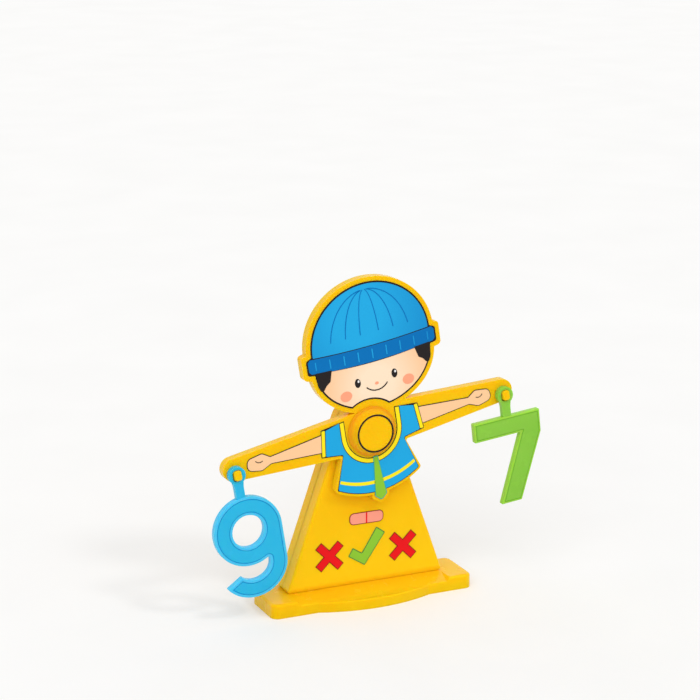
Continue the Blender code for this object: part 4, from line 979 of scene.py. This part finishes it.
def make_head_prints():
    """A knitted cap with a turned-up band, over a plain round face."""
    whole = moved(rounded(mirrored(head_half(HEAD_BORDER))), HEAD_X)
    chin = ring((0.0, 0.0), CHIN_RADIUS, CHIN_RADIUS, 96)
    print_on_doll("head_line", whole, 0, INK_BLACK, ["head_label"], chin)

    line = HEAD_BORDER + HEAD_LINE
    band_low = CUFF_LOW + line + BAND_LIFT[0]
    band_top = CUFF_TOP - line + BAND_LIFT[1]
    chin_inner = ring((0.0, 0.0), CHIN_RADIUS + HEAD_LINE, CHIN_RADIUS + HEAD_LINE, 96)
    face_half = FACE_HALF - line
    face = arc((0.0, FACE_Z), face_half, FACE_DROP - line, -1, -179)
    face += bow_line(face_half - FACE_TUCK, band_low - INK_LINE, BAND_BOW)
    print_on_doll("face", moved(face, HEAD_X), 1, INK_SKIN, cutter=chin_inner)

    dome_half = DOME_HALF - line
    dome_tall = HEAD_TOP - DOME_Z - line
    dome_low = band_top + INK_LINE
    dome_start = math.degrees(math.asin((dome_low - DOME_Z) / dome_tall))
    dome = arc((0.0, DOME_Z), dome_half, dome_tall, 180 - dome_start, dome_start)
    ends = dome_half * math.cos(math.radians(dome_start))
    dome += list(reversed(bow_line(ends, dome_low, DOME_BOW)))[1:-1]
    print_on_head("cap_dome", dome, 1, INK_CAP)

    side = CUFF_HALF - line
    flat = side - BAND_CORNER
    band = bow_line(flat, band_low, BAND_BOW)
    band += [(side, band_low + BAND_CORNER), (side, band_top - BAND_CORNER)]
    band += list(reversed(bow_line(flat, band_top, DOME_BOW)))
    band += [(-side, band_top - BAND_CORNER), (-side, band_low + BAND_CORNER)]
    print_on_head("cap_band", band, 1, INK_NAVY)
    make_cap_ribs(dome_half, dome_tall, band_low, band_top, side)
    make_face_prints(band_low)


def make_cap_ribs(dome_half, dome_tall, band_low, band_top, side):
    """Knitted ribs: long arcs over the dome and short strokes on the band."""
    for index, share in enumerate(RIB_SHARES):
        rib = ribbon(
            (0.0, DOME_Z), dome_half * share, dome_tall - RIB_TOP, RIB_START, RIB_END, RIB_WIDTH)
        for way, label in ((1, "right"), (-1, "left")):
            print_on_head(f"cap_rib_{index + 1}_{label}", on_side(way, rib), 2, INK_NAVY)
    for index in range(STROKES):
        across = (index - (STROKES - 1) / 2) * 2 / STROKES
        low = band_low + STROKE_MARGIN - BAND_BOW * (1 - across ** 2)
        high = band_top - STROKE_MARGIN - DOME_BOW * (1 - across ** 2)
        stroke = rounded(moved(box_corners(STROKE_HALF, low, high, STROKE_CORNER), across * side))
        print_on_head(f"band_rib_{index + 1}", stroke, 2, INK_CAP)


def make_face_prints(band_low):
    """Two dot eyes, a small nose, rosy cheeks, a smile and short side hair."""
    tuft = [(x * MM, band_low + z * MM, 0.0) for x, z in TUFT]
    tuft += [(x * MM, z * MM, radius * MM) for x, z, radius in HAIR]
    for side, label in ((-1, "left"), (1, "right")):
        eye = ring((side * EYE_X, EYE_LEVEL), *EYE_SIZE, 40)
        gleam = ring((side * EYE_X + GLEAM_X, GLEAM_LEVEL), *GLEAM_SIZE, 24)
        cheek = ring((side * CHEEK_X, CHEEK_LEVEL), *CHEEK_SIZE, 48)
        print_on_head(f"hair_{label}", rounded(on_side(side, tuft)), 2, INK_BLACK)
        print_on_head(f"eye_{label}", eye, 2, INK_BLACK)
        print_on_head(f"gleam_{label}", gleam, 3, INK_WHITE)
        print_on_head(f"cheek_{label}", cheek, 2, INK_ROSE)
    smile = ribbon((0.0, SMILE_LEVEL), *SMILE_SIZE, *SMILE_ENDS, SMILE_LINE)
    print_on_head("smile", smile, 2, INK_BLACK)
    print_on_head("nose", ring((0.0, NOSE_LEVEL), *NOSE_SIZE, 32), 2, INK_ROSE)


def sleeve_ends():
    """Directions down a sleeve's slanted end and in towards the body."""
    along = (SLEEVE_LOW - SLEEVE_TOP).normalized()
    return along, Vector((along.y, -along.x))


def shirt_outline(neckline, draw_in, sleeve_in):
    """The jumper: open at its round neck, drawn in at its edges and at its sleeve ends."""
    lean = (HEM_HALF - ARMPIT_X) / (ARMPIT_Z - HEM_SIDE_Z)
    border = BODY_BORDER + draw_in
    along, inward = sleeve_ends()
    top = SLEEVE_TOP + inward * sleeve_in + along * draw_in
    low = SLEEVE_LOW + inward * sleeve_in - along * draw_in
    hem_side = HEM_HALF - border
    half = [
        (neckline, SHOULDER_Z - draw_in * 1.1, 0.0),
        (*top, SLEEVE_CORNER),
        (*low, SLEEVE_CORNER),
        (ARMPIT_X - border + border * lean, ARMPIT_Z + border, CREASE),
        (hem_side, HEM_SIDE_Z + draw_in / 2, HEM_CORNER)]
    half += sharp(hem_bow(hem_side - HEM_CORNER, 0.0, HEM_LOW_Z + border, border))
    neck = sharp(arc((0.0, 0.0), neckline, neckline, 180, 360))
    return rounded(half + on_side(-1, reversed(half[:-1])) + neck)


def make_shirt_prints():
    """A blue jumper with a yellow neckband, cuffs and one stripe above the hem."""
    edge = shirt_outline(NECKLINE, 0.0, 0.0)
    print_on_doll("shirt_line", edge, 0, INK_BLACK, ["shirt_label"])
    collar_inner = NECKLINE + INK_LINE
    collar_outer = collar_inner + COLLAR_WIDTH
    blue = shirt_outline(collar_outer + INK_LINE, INK_LINE, INK_LINE + CUFF_WIDTH + INK_LINE)
    print_on_doll("shirt", blue, 1, INK_BLUE)
    top = SHOULDER_Z - INK_LINE * 1.2
    collar = [(collar_outer, top - COLLAR_DROP)]
    collar += arc((0.0, 0.0), collar_outer, collar_outer, 0, -180)
    collar += [(-collar_outer, top - COLLAR_DROP), (-collar_inner, top)]
    collar += arc((0.0, 0.0), collar_inner, collar_inner, -180, 0)
    collar += [(collar_inner, top)]
    print_on_doll("neckband", collar, 1, INK_YELLOW)

    along, inward = sleeve_ends()
    outer_top = SLEEVE_TOP + (inward + along) * INK_LINE
    outer_low = SLEEVE_LOW + (inward - along) * INK_LINE
    inner_top = outer_top + inward * CUFF_WIDTH - along * CUFF_LEAN[0]
    inner_low = outer_low + inward * CUFF_WIDTH - along * CUFF_LEAN[1]
    cuff = [(*point, CUFF_END) for point in (outer_top, outer_low, inner_low, inner_top)]
    for side, label in ((-1, "left"), (1, "right")):
        print_on_doll(f"cuff_{label}", rounded(on_side(side, cuff)), 1, INK_YELLOW)

    low_half = HEM_HALF - BODY_BORDER - INK_LINE - STRIPE_IN
    top_half = low_half - STRIPE_LEAN
    stripe = hem_bow(-low_half, low_half, HEM_LOW_Z + STRIPE_LOW)
    stripe += hem_bow(top_half, -top_half, HEM_LOW_Z + STRIPE_TOP)
    print_on_doll("shirt_stripe", stripe, 2, INK_YELLOW)


def sleeve_end(level):
    """How far out the sleeve's slanted end lies at a height."""
    share = (level - SLEEVE_LOW.y) / (SLEEVE_TOP.y - SLEEVE_LOW.y)
    return SLEEVE_LOW.x + (SLEEVE_TOP.x - SLEEVE_LOW.x) * share - SLEEVE_TUCK


def make_arm_prints():
    """Bare forearms that end in plain mittened hands."""
    arm = [(sleeve_end(FOREARM_TOP), FOREARM_TOP, 0.0)]
    arm += [(ARM_REACH - x * MM, z * MM, radius * MM) for x, z, radius in HAND]
    arm.append((sleeve_end(FOREARM_LOW), FOREARM_LOW, 0.0))
    thumb = ribbon(
        (ARM_REACH - THUMB_FROM_TIP, THUMB_Z), *THUMB_SIZE, *THUMB_ENDS, THUMB_LINE, 20)
    for side, label in ((-1, "left"), (1, "right")):
        outline = rounded(on_side(side, arm))
        print_on_doll(f"arm_line_{label}", outline, 0, INK_BLACK, [f"{label}_arm_label"])
        skin = inset(outline, INK_LINE)
        for end in (0, -1):
            skin[end] = (skin[end][0] - side * INK_LINE, skin[end][1])
        print_on_doll(f"arm_{label}", skin, 1, INK_ARM)
        print_on_doll(f"thumb_{label}", on_side(side, thumb), 2, INK_BLACK)


def make_pointer_prints():
    """The long green pointer that hangs from the neckband."""
    outline = rounded(mirrored([
        (POINTER_TOP_HALF, POINTER_TOP_Z, 0.0), (POINTER_LOW_HALF, POINTER_LOW_Z, POINTER_CORNER),
        (0.0, POINTER_TIP_Z, POINTER_TIP)]))
    print_on_doll("pointer_line", outline, 2, INK_TEAL, ["pointer_label"])
    print_on_doll("pointer", inset(outline, INK_LINE), 3, INK_GREEN)


# Tower

def tower_outline():
    top = (0.0, PIVOT.z)
    foot = (TOWER_HALF, TOWER_FOOT)
    touch = tangent_angle(foot, top, TOWER_TOP_RADIUS, 1)
    half = sharp(arc(top, TOWER_TOP_RADIUS, TOWER_TOP_RADIUS, 90, touch, 32))
    return rounded(mirrored(half + [(*foot, TOWER_CORNER)]))


def stop_slot_outline():
    """The round-ended slot that the stop pin runs in."""
    width = STOP_PIN + SEAT_GAP
    turn = math.degrees(TILT)
    centre = (0.0, PIVOT.z)
    left = -90 - turn
    right = -90 + turn
    end = arc(centre, STOP_RADIUS, STOP_RADIUS, right, right, 1)[0]
    start = arc(centre, STOP_RADIUS, STOP_RADIUS, left, left, 1)[0]
    outline = arc(centre, STOP_RADIUS + width, STOP_RADIUS + width, left, right, 8)
    outline += arc(end, width, width, right, right + 180, 12)[1:-1]
    outline += arc(centre, STOP_RADIUS - width, STOP_RADIUS - width, right, left, 8)
    outline += arc(start, width, width, left + 180, left + 360, 12)[1:-1]
    return outline


def bar_across(name, profile, half):
    """A bar along X whose profile is given as (y, z) points."""
    bar = slab(name, [profile], -half, half, upright=False)
    bar.data.transform(Matrix(((0, 0, 1), (1, 0, 0), (0, 1, 0))).to_4x4())
    return bar


def round_foot(shell, level, inward):
    """Draw the foot of a shell's outer face in, along a gentle curve."""
    radius = (FOOT_ROUND ** 2 + FOOT_DRAW_IN ** 2) / (2 * FOOT_DRAW_IN)
    profile = []
    for step in range(CORNER_STEPS + 1):
        rise = FOOT_ROUND * (1 - step / CORNER_STEPS)
        draw = radius - math.sqrt(radius ** 2 - (FOOT_ROUND - rise) ** 2)
        profile.append((level + inward * draw, TOWER_FOOT + rise))
    profile.append((profile[-1][0], TOWER_FOOT - CUT_PAST))
    profile.append((level - inward * CUT_PAST, TOWER_FOOT - CUT_PAST))
    profile.append((level - inward * CUT_PAST, TOWER_FOOT + FOOT_ROUND))
    cutter = bar_across("foot_cut", profile, TOWER_HALF + FOOT_RUN_OUT)
    combine(shell, cutter, "DIFFERENCE")


def make_tower():
    """Two shells that meet at a fine seam."""
    front = slab("tower_front", [tower_outline()], TOWER_FRONT, TOWER_SEAM)
    soften(front, TOWER_EDGE, 6, on_level(TOWER_FRONT))
    soften(front, SEAM_EDGE, 2, on_level(TOWER_SEAM))
    round_foot(front, TOWER_FRONT, 1.0)
    slot = slab(
        "slot", [stop_slot_outline()], TOWER_FRONT - CUT_PAST, TOWER_FRONT + SLOT_DEPTH)
    combine(front, slot, "DIFFERENCE")
    # The tower's finish carries painted light towards its foot.
    finish_piece(front, TOWER_YELLOW_PAINTED_LIGHT, "stand", ["tower_front_shell"])

    rear = slab("tower_rear", [tower_outline()], REAR_SEAM, TOWER_BACK)
    soften(rear, TOWER_EDGE, 6, on_level(TOWER_BACK))
    soften(rear, SEAM_EDGE, 2, on_level(REAR_SEAM))
    round_foot(rear, TOWER_BACK, -1.0)
    for node in screws_on("tower_screw", 4):
        place = middle(node)
        pocket = round_bar(
            "pocket", POCKET_RADIUS, REAR_SEAM + TOWER_POCKET_FLOOR, TOWER_BACK + CUT_PAST,
            (place.x, place.z))
        combine(rear, pocket, "DIFFERENCE")
    finish_piece(rear, TOWER_YELLOW_PAINTED_LIGHT, "stand", ["tower_rear_shell"])


def cross_outline(centre, span, stroke):
    """A diagonal cross of two bars with square ends."""
    half = stroke / 2
    reach = span / math.sqrt(2) - half
    points = []
    for quarter in range(4):
        turn = Matrix.Rotation(math.radians(45 + 90 * quarter), 2)
        for corner in ((half, -half), (reach, -half), (reach, half)):
            point = turn @ Vector(corner)
            points.append((centre.x + point.x, centre.z + point.y))
    return points


def make_tower_prints():
    """Plain marks that the pointer shows: cross, tick, cross, and a striped bar above."""
    for label in ("left", "right"):
        node = f"cross_label_{label}"
        low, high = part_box(node)
        outline = cross_outline((low + high) / 2, high.x - low.x, CROSS_STROKE)
        print_on_tower(f"cross_line_{label}", outline, 0, INK_MAROON, [node])
        print_on_tower(f"cross_{label}", inset(outline, INK_LINE), 1, INK_RED)
    middle_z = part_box("tick_label")[0].z + TICK_LOW
    outline = rounded([(x * MM, middle_z + z * MM, TICK_CORNER) for x, z in TICK])
    print_on_tower("tick_line", outline, 0, INK_FOREST, ["tick_label"])
    print_on_tower("tick", inset(outline, INK_LINE), 1, INK_GREEN)
    low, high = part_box("bar_label")
    outline = rounded(box_corners(high.x, low.z, high.z, BAR_CORNER))
    print_on_tower("bar_line", outline, 0, INK_MAROON, ["bar_label"])
    print_on_tower("bar", inset(outline, INK_LINE), 1, INK_PINK)
    stripe = rounded(box_corners(BAR_STRIPE, low.z + INK_LINE, high.z - INK_LINE, 0.0))
    print_on_tower("bar_stripe", stripe, 2, INK_RED)


# Base

def toe_bow(radius, level):
    """The toe's bow, or one inside it, as far as a level in depth."""
    half = math.sqrt(radius ** 2 - (TOE_MIDDLE[1] - level) ** 2)
    spread = math.degrees(math.asin(half / radius))
    return arc(TOE_MIDDLE, radius, radius, spread - 90, -spread - 90)


def toe_plan(root, draw_in=0.0):
    """The bowed toe, whose root runs into the body."""
    bow = toe_bow(TOE_RADIUS, -BASE_DEPTH / 2)
    rear = root - BASE_DEPTH / 2
    return inset(bow + [(-TOE_LENGTH / 2, rear), (TOE_LENGTH / 2, rear)], draw_in)


def base_block(name, length, depth, low, high, corner):
    """A block with four rounded upright corners."""
    piece = block(name, (0, 0, (low + high) / 2), (length, depth, high - low))
    return soften(
        piece, corner, 10,
        lambda edge: abs(edge.verts[0].co.z - edge.verts[1].co.z) > (high - low) / 2)


def scoop_cutter(front):
    """What the scoop takes away: a slope whose front edge is left rounded, with slanted ends."""
    top = BASE_TOP + SCOOP_ABOVE
    low = TOE_HEIGHT - SCOOP_BELOW
    skin = front - SCOOP_SKIN
    rear = front + SCOOP_BACK
    profile = rounded([
        (rear, top, 0.0), (rear, BASE_TOP, 0.0), (skin, TOE_HEIGHT, SCOOP_EDGE), (skin, low, 0.0),
        (front - CUT_PAST, low, 0.0), (front - CUT_PAST, top, 0.0)])
    scoop = bar_across("scoop", profile, SCOOP_HALF + SCOOP_RUN_OUT)
    start_editing(scoop)
    for side in (-1, 1):
        bpy.ops.mesh.select_all(action="SELECT")
        bpy.ops.mesh.bisect(
            plane_co=(side * SCOOP_HALF, front, BASE_TOP), plane_no=(side, 0, -SCOOP_END_LEAN),
            use_fill=True, clear_outer=True)
    stop_editing()
    return scoop


def dish_cutter(front):
    """What the dish takes away: a hollow behind the toe's lip, with gently sloping sides."""
    floor = TOE_HEIGHT - DISH_DEPTH
    rear = front + DISH_BACK
    rim = toe_bow(TOE_RADIUS - DISH_IN, rear)
    foot = toe_bow(TOE_RADIUS - DISH_IN - DISH_SLOPE, rear - DISH_SLOPE)
    dish = slab("dish", [rim], floor, TOE_HEIGHT + DISH_ABOVE, upright=False)
    for vert in dish.data.vertices:
        if abs(vert.co.z - floor) < TOUCH:
            distances = [(vert.co.xy - Vector(point)).length for point in rim]
            vert.co.xy = foot[distances.index(min(distances))]
    return dish


def make_base():
    """The foot: a rounded bar, scooped out in front of the tower, with a low bowed toe."""
    front = -BASE_DEPTH / 2
    ceiling = TOE_HEIGHT - BASE_WALL
    body = base_block("base_body", BASE_LENGTH, BASE_DEPTH, 0.0, BASE_TOP, BASE_CORNER)
    soften(body, BASE_EDGE, 6, on_level(BASE_TOP, 2))
    combine(body, scoop_cutter(front), "DIFFERENCE")
    toe = slab("toe", [toe_plan(TOE_ROOT)], 0.0, TOE_HEIGHT, upright=False)
    soften(toe, TOE_EDGE, 5, on_level(TOE_HEIGHT, 2))
    combine(body, toe, "UNION")
    combine(body, dish_cutter(front), "DIFFERENCE")
    room = base_block(
        "room", BASE_LENGTH - 2 * BASE_WALL, BASE_DEPTH - 2 * BASE_WALL, -CUT_PAST, ceiling,
        BASE_CORNER - BASE_WALL)
    combine(body, room, "DIFFERENCE")
    toe_room = slab(
        "toe_room", [toe_plan(TOE_ROOT, BASE_WALL)], -CUT_PAST, ceiling - TOE_ROOM_STEP,
        upright=False)
    combine(body, toe_room, "DIFFERENCE")
    finish_piece(body, YELLOW, "stand", ["base_shell"])


# Knob

def make_knob():
    """The round cap: a flat face, a flared skirt and a dark printed line."""
    tall = KNOB_BACK - KNOB_FRONT
    waist = tall - KNOB_EDGE
    shoulder = waist - KNOB_SHOULDER
    lip = KNOB_SKIRT_EDGE / 2
    profile = [(0.0, tall)]
    profile += arc((KNOB_FACE - KNOB_EDGE, waist), KNOB_EDGE, KNOB_EDGE, 90, 20, 6)
    profile += arc(
        (KNOB_SKIRT, shoulder), KNOB_SKIRT - KNOB_FACE, shoulder - KNOB_SKIRT_EDGE, 180, 268, 20)
    profile += arc((KNOB_SKIRT - lip, lip), lip, lip, 70, -90, 8)
    profile += [(0.0, 0.0)]
    knob = spun("knob_cap", profile, Vector((PIVOT.x, KNOB_BACK, PIVOT.z)))
    # The knob's finish carries painted shade on its flared skirt.
    finish_piece(knob, KNOB_YELLOW_PAINTED_SHADE, "stand", ["knob"])

    inner = KNOB_RING - KNOB_RING_WIDTH / 2
    outer = KNOB_RING + KNOB_RING_WIDTH / 2
    section = [
        (inner, -KNOB_RING_SUNK), (inner, KNOB_RING_RAISED), (outer, KNOB_RING_RAISED),
        (outer, -KNOB_RING_SUNK), (inner, -KNOB_RING_SUNK)]
    line = spun("knob_line", section, Vector((PIVOT.x, KNOB_FRONT, PIVOT.z)))
    finish_piece(line, INK_BLACK, "stand", ["knob_ring"])


# Pegs

def peg_outline(side, grow=0.0):
    corners = box_corners(
        PEG_WIDTH / 2 + grow, PEG_Z - PEG_TALL / 2 - grow, PEG_Z + PEG_TALL / 2 + grow,
        PEG_CORNER + grow)
    return rounded(moved(corners, side * ARM_REACH))


def make_peg(side, label):
    """A raked post with a softly rounded tip, on a round flange inside the arm."""
    tip = DOLL_FRONT - PEG_LENGTH
    seat = DOLL_FRONT + PLATE_WALL + SEAT_GAP
    x = side * ARM_REACH
    peg = block(
        f"peg_{label}", (x, (tip + seat) / 2, PEG_Z), (PEG_WIDTH, seat - tip, PEG_TALL))
    soften(
        peg, PEG_CORNER, 8,
        lambda edge: abs(edge.verts[0].co.y - edge.verts[1].co.y) > PEG_EDGE)
    soften(peg, PEG_EDGE, 5, on_level(tip))
    root = Matrix.Translation((x, DOLL_FRONT, PEG_Z))
    peg.data.transform(root @ Matrix.Rotation(-PEG_RAKE, 4, "X") @ root.inverted())
    flange = round_bar("flange", PEG_FLANGE, seat, seat + PEG_FLANGE_DEPTH, (x, PEG_Z))
    combine(peg, flange, "UNION")
    finish_piece(peg, YELLOW, "figure", [f"{label}_peg"], BEAM)


# Numbers, drawn about the middle of their eyes

def number_place(side, lean):
    """Where a number hangs: on its peg, leaning by an angle from the beam's own upright."""
    seat = Matrix.Translation((side * ARM_REACH, 0.0, EYE_Z))
    return BEAM @ seat @ Matrix.Rotation(lean, 4, "Y")


def hanger_outline(low):
    """The eye and its stem as one outline, with the peg's hole."""
    outline = sharp(arc((0.0, 0.0), EYE_HALF_WIDTH, EYE_HALF_HEIGHT, *EYE_ENDS, 48))
    outline += [
        (-STEM_HALF, STEM_TOP_Z, STEM_FILLET), (-STEM_HALF, low, 0.0), (STEM_HALF, low, 0.0),
        (STEM_HALF, STEM_TOP_Z, STEM_FILLET)]
    hole = rounded(box_corners(
        EYE_HOLE_HALF_WIDTH, -EYE_HOLE_HALF_HEIGHT, EYE_HOLE_HALF_HEIGHT, EYE_HOLE_CORNER))
    return [rounded(outline), hole]


def inside(outline, x, z):
    """Whether a point lies within a closed outline."""
    crossings = 0
    for (x0, z0), (x1, z1) in zip(outline, outline[1:] + outline[:1]):
        if (z0 > z) != (z1 > z) and x < x0 + (z - z0) / (z1 - z0) * (x1 - x0):
            crossings += 1
    return crossings % 2 == 1


def drawn_in(outlines, distance):
    """An outline drawn in by a distance, with its holes made larger by as much."""
    edge, *holes = outlines
    return [inset(edge, distance)] + [inset(hole, -distance) for hole in holes]


def carve_grooves(digit, outlines, border):
    """A fine groove along every edge: sink the whole field, then raise all but its border."""
    for level, inward in ((NUMBER_FRONT, 1.0), (NUMBER_BACK, -1.0)):
        sunk = slab(
            "sunk", drawn_in(outlines, border), level - inward * CUT_PAST,
            level + inward * GROOVE_DEPTH)
        combine(digit, sunk, "DIFFERENCE")
        field = slab(
            "field", drawn_in(outlines, border + GROOVE_WIDTH), level,
            level + inward * FIELD_ROOT)
        combine(digit, field, "UNION")


def paint_rim_light_and_groove_shade(digit, outlines, border, rim_painted_light_look, groove_painted_shade_look):
    """Paint light on the thin border outside the groove with a lighter look, and paint shade in the
    groove with a deeper one.
    """
    field, *eyes = drawn_in(outlines, border + GROOVE_WIDTH / 2)
    digit.data.materials.append(rim_painted_light_look)
    digit.data.materials.append(groove_painted_shade_look)
    for face in digit.data.polygons:
        corners = [digit.data.vertices[index].co for index in face.vertices]
        front_floor = all(abs(co.y - NUMBER_FRONT - GROOVE_DEPTH) < TOUCH for co in corners)
        back_floor = all(abs(co.y - NUMBER_BACK + GROOVE_DEPTH) < TOUCH for co in corners)
        within = [
            inside(field, co.x, co.z) and not any(inside(eye, co.x, co.z) for eye in eyes)
            for co in corners]
        # Groove floors get the painted shade; faces wholly outside the field get the painted rim
        # light.
        if front_floor or back_floor:
            face.material_index = 2
        elif not any(within):
            face.material_index = 1


def make_number(name, outlines, border, stem_low, looks, body, node, place):
    """One moulding: a thick digit with a groove along its edge, and a thinner hanger."""
    digit = slab(name, outlines, NUMBER_FRONT, NUMBER_BACK)
    soften(digit, NUMBER_EDGE, 5)
    carve_grooves(digit, outlines, border)
    hanger = slab(
        "hanger", hanger_outline(stem_low), NUMBER_FRONT + HANGER_SETBACK,
        NUMBER_BACK - HANGER_SETBACK)
    soften(hanger, HANGER_EDGE, 4, lambda edge: is_sharp(edge) and edge.verts[0].co.z > stem_low)
    digit.data.materials.clear()
    digit.data.materials.append(looks[0])
    hanger.data.materials.append(looks[0])
    # Painted light on the border and painted shade in the groove.
    paint_rim_light_and_groove_shade(digit, outlines, border, looks[1], looks[2])
    combine(digit, hanger, "UNION")
    finish_piece(digit, None, body, [node], place)


def nine_outlines():
    """The nine's edge, with a round bowl, a straight back and a hooked tail, and its hole."""
    bowl = (NINE_BOWL_X, NINE_BOWL_Z)
    tail = (NINE_BOWL_X, NINE_TAIL_Z)
    inner_half = NINE_BOWL - NINE_STROKE
    inner_drop = NINE_TAIL_DROP - NINE_STROKE
    corners = sharp(arc(bowl, NINE_BOWL, NINE_BOWL, 0, NINE_BOWL_END, 96))
    notch_top = corners[-1][1]
    corners.append((NINE_BOWL_X + inner_half, notch_top + NINE_NOTCH, NINE_NOTCH))
    inner_end = NINE_TAIL_SLANT - NINE_TAIL_TURN
    corners += sharp(arc(tail, inner_half, inner_drop, 0, inner_end, 40))
    corners += sharp(arc(tail, NINE_BOWL, NINE_TAIL_DROP, -NINE_TAIL_TURN, 0))
    return [rounded(corners), ring(bowl, NINE_HOLE, NINE_HOLE, 72)]


def make_nine():
    stem_low = NINE_BOWL_Z + NINE_BOWL - NINE_STEM_ROOT
    make_number(
        "nine", nine_outlines(), NINE_BORDER, stem_low, (SKY, SKY_RIM_PAINTED_LIGHT, SKY_GROOVE_PAINTED_SHADE), "nine",
        "number_nine", number_place(-1, 0.0))


def make_seven():
    outline = [
        (SEVEN_LEFT, SEVEN_TOP_Z), (SEVEN_LEFT, SEVEN_BAR_Z), (SEVEN_INNER_X, SEVEN_BAR_Z),
        (SEVEN_FOOT_X, SEVEN_FOOT_Z), (SEVEN_FOOT_X + SEVEN_FOOT_WIDTH, SEVEN_FOOT_Z),
        (SEVEN_RIGHT, SEVEN_ELBOW_Z), (SEVEN_RIGHT, SEVEN_TOP_Z)]
    make_number(
        "seven", [outline], SEVEN_BORDER, SEVEN_TOP_Z - SEVEN_STEM_ROOT,
        (LIME, LIME_RIM_PAINTED_LIGHT, LIME_GROOVE_PAINTED_SHADE), "seven", "number_seven",
        number_place(1, SEVEN_LEAN))


# Screws

def make_screw_head(name, tall):
    """A pan head with a crossed recess, its seat at the origin and its top towards +Y."""
    bpy.ops.object.select_all(action="DESELECT")
    bpy.ops.mesh.primitive_cylinder_add(vertices=40, radius=SCREW_RADIUS, depth=tall)
    head = bpy.context.object
    head.name = name
    head.data.transform(Matrix.Translation((0, 0, tall / 2)))
    start_editing(head)
    pick_edges(head, on_level(tall, 2))
    bpy.ops.mesh.bevel(offset=min(SCREW_EDGE, tall / 2), segments=4, affect="EDGES")
    pick_faces(head, lambda face: face.normal.z < -0.9)
    bpy.ops.mesh.inset(thickness=SCREW_RADIUS - SHANK_RADIUS, depth=0.0)
    bpy.ops.mesh.extrude_region_move(TRANSFORM_OT_translate={"value": (0, 0, -SHANK_LENGTH)})
    stop_editing()
    for angle in (45, 135):
        bpy.ops.object.select_all(action="DESELECT")
        bpy.ops.mesh.primitive_cube_add(size=1, location=(0, 0, tall))
        blade = bpy.context.object
        blade.scale = (SCREW_RADIUS * DRIVE_REACH, DRIVE_WIDTH, tall * DRIVE_HEIGHT)
        blade.rotation_euler.z = math.radians(angle)
        bpy.ops.object.transform_apply(location=True, rotation=True, scale=True)
        combine(head, blade, "DIFFERENCE")
    head.data.transform(Matrix.Rotation(-math.pi / 2, 4, "X"))
    return head


def place_screws():
    """One screw for each screw node, its head level with the node's outer end."""
    groups = (
        ("figure_screw", 6, "figure", SCREW_FLAT_HEAD, False),
        ("tower_screw", 4, "stand", SCREW_TALL_HEAD, False),
        ("base_screw", 4, "stand", SCREW_FLAT_HEAD, True),
        ("foot_screw", 2, "stand", SCREW_TALL_HEAD, True))
    for prefix, count, body, tall, faces_down in groups:
        for node in screws_on(prefix, count):
            low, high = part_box(node)
            screw = make_screw_head(node + "_head", tall)
            centre = (low + high) / 2
            if faces_down:
                turn = Matrix.Rotation(-math.pi / 2, 4, "X")
                place = Matrix.Translation((centre.x, centre.y, low.z + tall)) @ turn
            else:
                place = Matrix.Translation((centre.x, high.y - tall, centre.z))
            finish_piece(screw, STEEL, body, [node], place)


# Pieces carried over from the frame

def dress_frame_nodes():
    looks = {
        "base_underplate": COVER, "pivot_axle": STEEL, "pivot_bush": BUSH,
        "counterweight": WEIGHT}
    for node, look in looks.items():
        piece = frame["nodes"][node]
        piece.data.materials.clear()
        piece.data.materials.append(look)


# Studio

def make_floor():
    bpy.ops.object.select_all(action="DESELECT")
    bpy.ops.mesh.primitive_plane_add(size=24.0, location=(0, 0, 0))
    floor = bpy.context.object
    floor.name = "studio_floor"
    floor.data.materials.append(studio_floor("floor_finish"))


def make_world():
    world = bpy.data.worlds.new("studio")
    bpy.context.scene.world = world
    world.use_nodes = True
    tree = world.node_tree
    strength = add_range(tree, seen_directly(tree), 0.0, 1.0, ROOM_LIGHT, BACKDROP)
    set_inputs(tree, tree.nodes["Background"], {
        "Strength": strength, "Color": (1.0, 1.0, 1.0, 1.0)})


def make_lights():
    """A broad soft lamp from the upper left, and a small weak one that gleams on edges."""
    lamps = (
        ("key_light", KEY_LIGHT, KEY_PLACE, KEY_SPREAD),
        ("gleam_light", GLEAM_LIGHT, GLEAM_PLACE, GLEAM_SPREAD))
    for name, strength, place, spread in lamps:
        bpy.ops.object.light_add(type="SUN", location=place)
        lamp = bpy.context.object
        lamp.name = name
        lamp.data.energy = strength
        lamp.data.angle = spread
        lamp.rotation_euler = (-Vector(place)).to_track_quat("-Z", "Y").to_euler()


def make_camera():
    """The photograph's viewpoint, a little above the toy and to its left."""
    back = Vector((
        math.sin(CAMERA_AZIMUTH) * math.cos(CAMERA_ELEVATION),
        -math.cos(CAMERA_AZIMUTH) * math.cos(CAMERA_ELEVATION), math.sin(CAMERA_ELEVATION)))
    bpy.ops.object.camera_add(location=CAMERA_AIM + back * CAMERA_DISTANCE)
    camera = bpy.context.object
    camera.name = "photo_camera"
    camera.rotation_euler = (-back).to_track_quat("-Z", "Y").to_euler()
    camera.data.sensor_width = SENSOR_WIDTH
    camera.data.lens = CAMERA_LENS
    bpy.context.scene.camera = camera


make_floor()
make_world()
make_lights()
make_camera()
make_base()
make_tower()
make_tower_prints()
make_knob()
make_doll_plate()
make_doll_cover()
make_head_prints()
make_shirt_prints()
make_arm_prints()
make_pointer_prints()
make_peg(-1, "left")
make_peg(1, "right")
make_nine()
make_seven()
place_screws()
dress_frame_nodes()
bpy.context.scene.view_settings.view_transform = "Standard"
